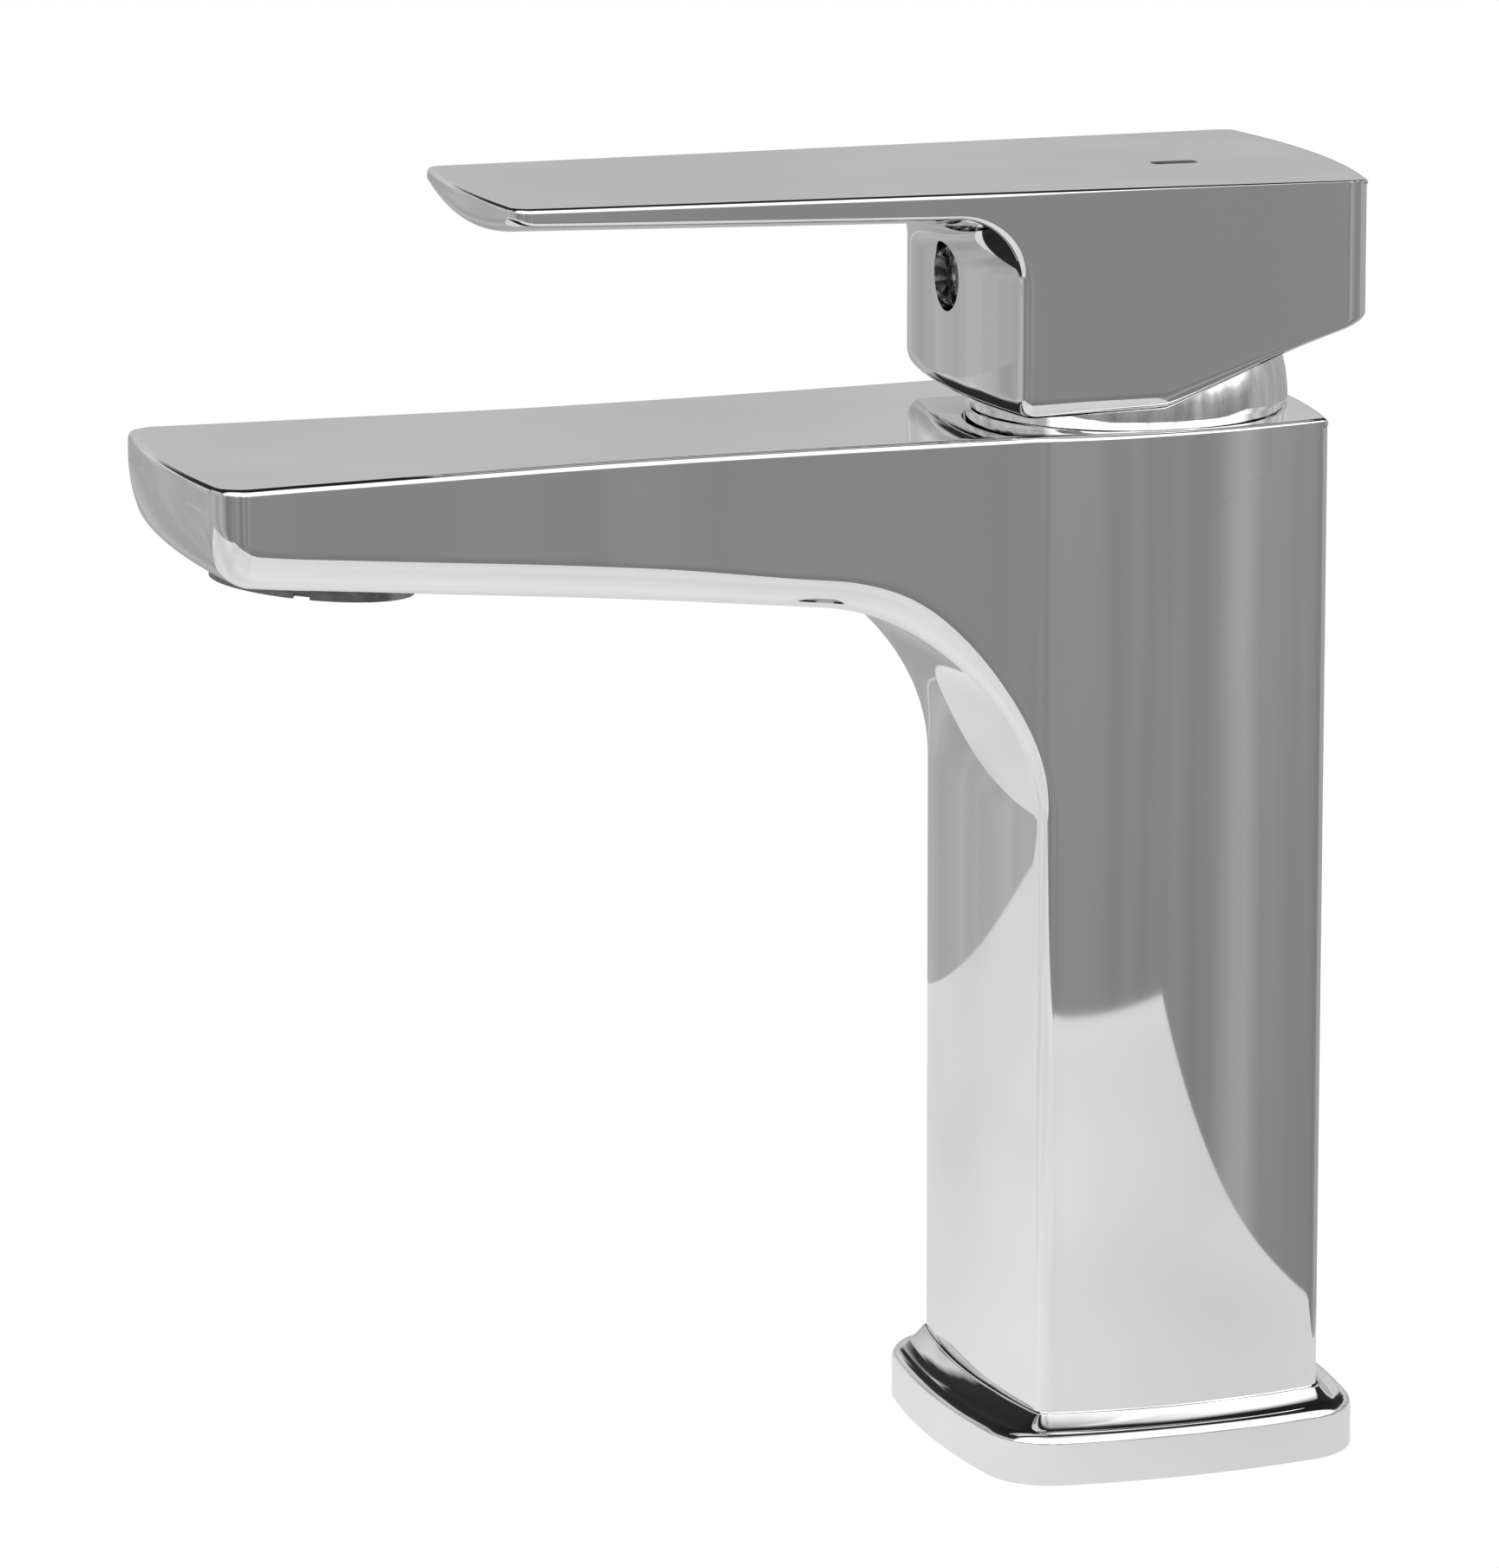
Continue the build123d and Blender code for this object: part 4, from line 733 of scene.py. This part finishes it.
def makeRamp(tree, stops):
    ramp = tree.nodes.new("ShaderNodeValToRGB")
    elements = ramp.color_ramp.elements
    for place, level in stops[1:-1]:
        elements.new(place)
    for stop, (place, level) in zip(elements, stops):
        stop.color = (level, level, level, 1)
    return ramp


def makeMath(tree, kind, first, *rest):
    node = tree.nodes.new("ShaderNodeMath")
    node.operation = kind
    for number, value in enumerate((first,) + rest):
        if isinstance(value, (int, float)):
            node.inputs[number].default_value = value
        else:
            tree.links.new(value, node.inputs[number])
    return node.outputs[0]


def makeStudio(setup):
    world = bpy.data.worlds.new("studio")
    scene.world = world
    world.use_nodes = True
    tree = world.node_tree
    tree.nodes.clear()
    out = tree.nodes.new("ShaderNodeOutputWorld")
    mix = tree.nodes.new("ShaderNodeMixShader")
    seen = tree.nodes.new("ShaderNodeLightPath")
    white = tree.nodes.new("ShaderNodeBackground")
    white.inputs[0].default_value = (1, 1, 1, 1)
    walls = tree.nodes.new("ShaderNodeBackground")
    coords = tree.nodes.new("ShaderNodeTexCoord")
    # soft drapes: long vertical folds bend every boundary a little
    folds = tree.nodes.new("ShaderNodeTexNoise")
    folds.inputs["Scale"].default_value = 5.0
    folds.inputs["Detail"].default_value = 2.5
    squash = tree.nodes.new("ShaderNodeVectorMath")
    squash.operation = "MULTIPLY"
    squash.inputs[1].default_value = (1, 1, 0.35)
    tree.links.new(coords.outputs["Generated"], squash.inputs[0])
    tree.links.new(squash.outputs[0], folds.inputs["Vector"])
    split = tree.nodes.new("ShaderNodeSeparateXYZ")
    tree.links.new(coords.outputs["Generated"], split.inputs[0])
    sway = makeMath(tree, "MULTIPLY_ADD", folds.outputs["Fac"], 0.10, -0.05)
    height = makeMath(tree, "MULTIPLY_ADD", split.outputs["Z"], 0.5, 0.5)
    height = makeMath(tree, "ADD", height, sway)
    behind, facing = makeRamp(tree, setup["behind"]), makeRamp(tree, setup["facing"])
    tree.links.new(height, behind.inputs[0])
    tree.links.new(height, facing.inputs[0])
    side = tree.nodes.new("ShaderNodeMapRange")
    side.inputs["From Min"].default_value = 0.12
    side.inputs["From Max"].default_value = 0.26
    tree.links.new(split.outputs["X"], side.inputs["Value"])
    room = tree.nodes.new("ShaderNodeMix")
    room.data_type = "RGBA"
    tree.links.new(side.outputs[0], room.inputs["Factor"])
    tree.links.new(behind.outputs[0], room.inputs["A"])
    tree.links.new(facing.outputs[0], room.inputs["B"])
    # folds shade the walls, and one pale upright panel stands to the right behind the camera
    shade = makeMath(tree, "MULTIPLY_ADD", folds.outputs["Fac"], 0.9, 0.55)
    ahead = makeMath(tree, "MAXIMUM", split.outputs["X"], 0.05)
    bearing = makeMath(tree, "DIVIDE", split.outputs["Y"], ahead)
    away = makeMath(tree, "ABSOLUTE", makeMath(tree, "SUBTRACT", bearing, 0.6))
    panel = tree.nodes.new("ShaderNodeMapRange")
    panel.interpolation_type = "SMOOTHSTEP"
    panel.inputs["From Min"].default_value = 0.14
    panel.inputs["From Max"].default_value = 0.02
    panel.inputs["To Max"].default_value = 0.55
    tree.links.new(away, panel.inputs["Value"])
    strength = makeMath(tree, "ADD", shade, panel.outputs[0])
    tree.links.new(room.outputs["Result"], walls.inputs[0])
    tree.links.new(strength, walls.inputs[1])
    tree.links.new(seen.outputs["Is Camera Ray"], mix.inputs[0])
    tree.links.new(walls.outputs[0], mix.inputs[1])
    tree.links.new(white.outputs[0], mix.inputs[2])
    tree.links.new(mix.outputs[0], out.inputs[0])


def makeFloor(setup):
    (x0, y0), (x1, y1) = setup["sheet"]
    mesh = bpy.data.meshes.new("floor")
    mesh.from_pydata([(x0, y0, 0), (x1, y0, 0), (x1, y1, 0), (x0, y1, 0)], [], [(0, 1, 2, 3)])
    floor = bpy.data.objects.new("floor", mesh)
    scene.collection.objects.link(floor)
    paint = bpy.data.materials.new("paleFloor")
    paint.use_nodes = True
    tree = paint.node_tree
    tree.nodes.clear()
    out = tree.nodes.new("ShaderNodeOutputMaterial")
    glow = tree.nodes.new("ShaderNodeEmission")
    seen = tree.nodes.new("ShaderNodeLightPath")
    coords = tree.nodes.new("ShaderNodeTexCoord")
    cloud = tree.nodes.new("ShaderNodeTexNoise")
    cloud.inputs["Scale"].default_value = 5.0
    cloud.inputs["Detail"].default_value = 2.0
    tree.links.new(coords.outputs["Object"], cloud.inputs["Vector"])
    level = makeMath(tree, "MULTIPLY_ADD", cloud.outputs["Fac"], 0.5, 0.5)
    level = makeMath(tree, "MAXIMUM", level, seen.outputs["Is Camera Ray"])
    level = makeMath(tree, "MINIMUM", level, 1.0)
    tree.links.new(level, glow.inputs["Strength"])
    tree.links.new(glow.outputs[0], out.inputs[0])
    mesh.materials.append(paint)


makeStudio(studioSetup)
makeFloor(studioSetup)
for name, node in nodes.items():
    node.data.materials.clear()
    node.data.materials.append(finishes[nodeFinish[name]])
newPieces = {body: "chrome", boss: "chrome", lever: "chrome", flange: "chrome", dome: "chrome",
             mark: "mark_enamel", cap: "cap_plastic"}
for piece, finish in newPieces.items():
    piece.data.materials.clear()
    piece.data.materials.append(finishes[finish])
print("studio and finishes ready")
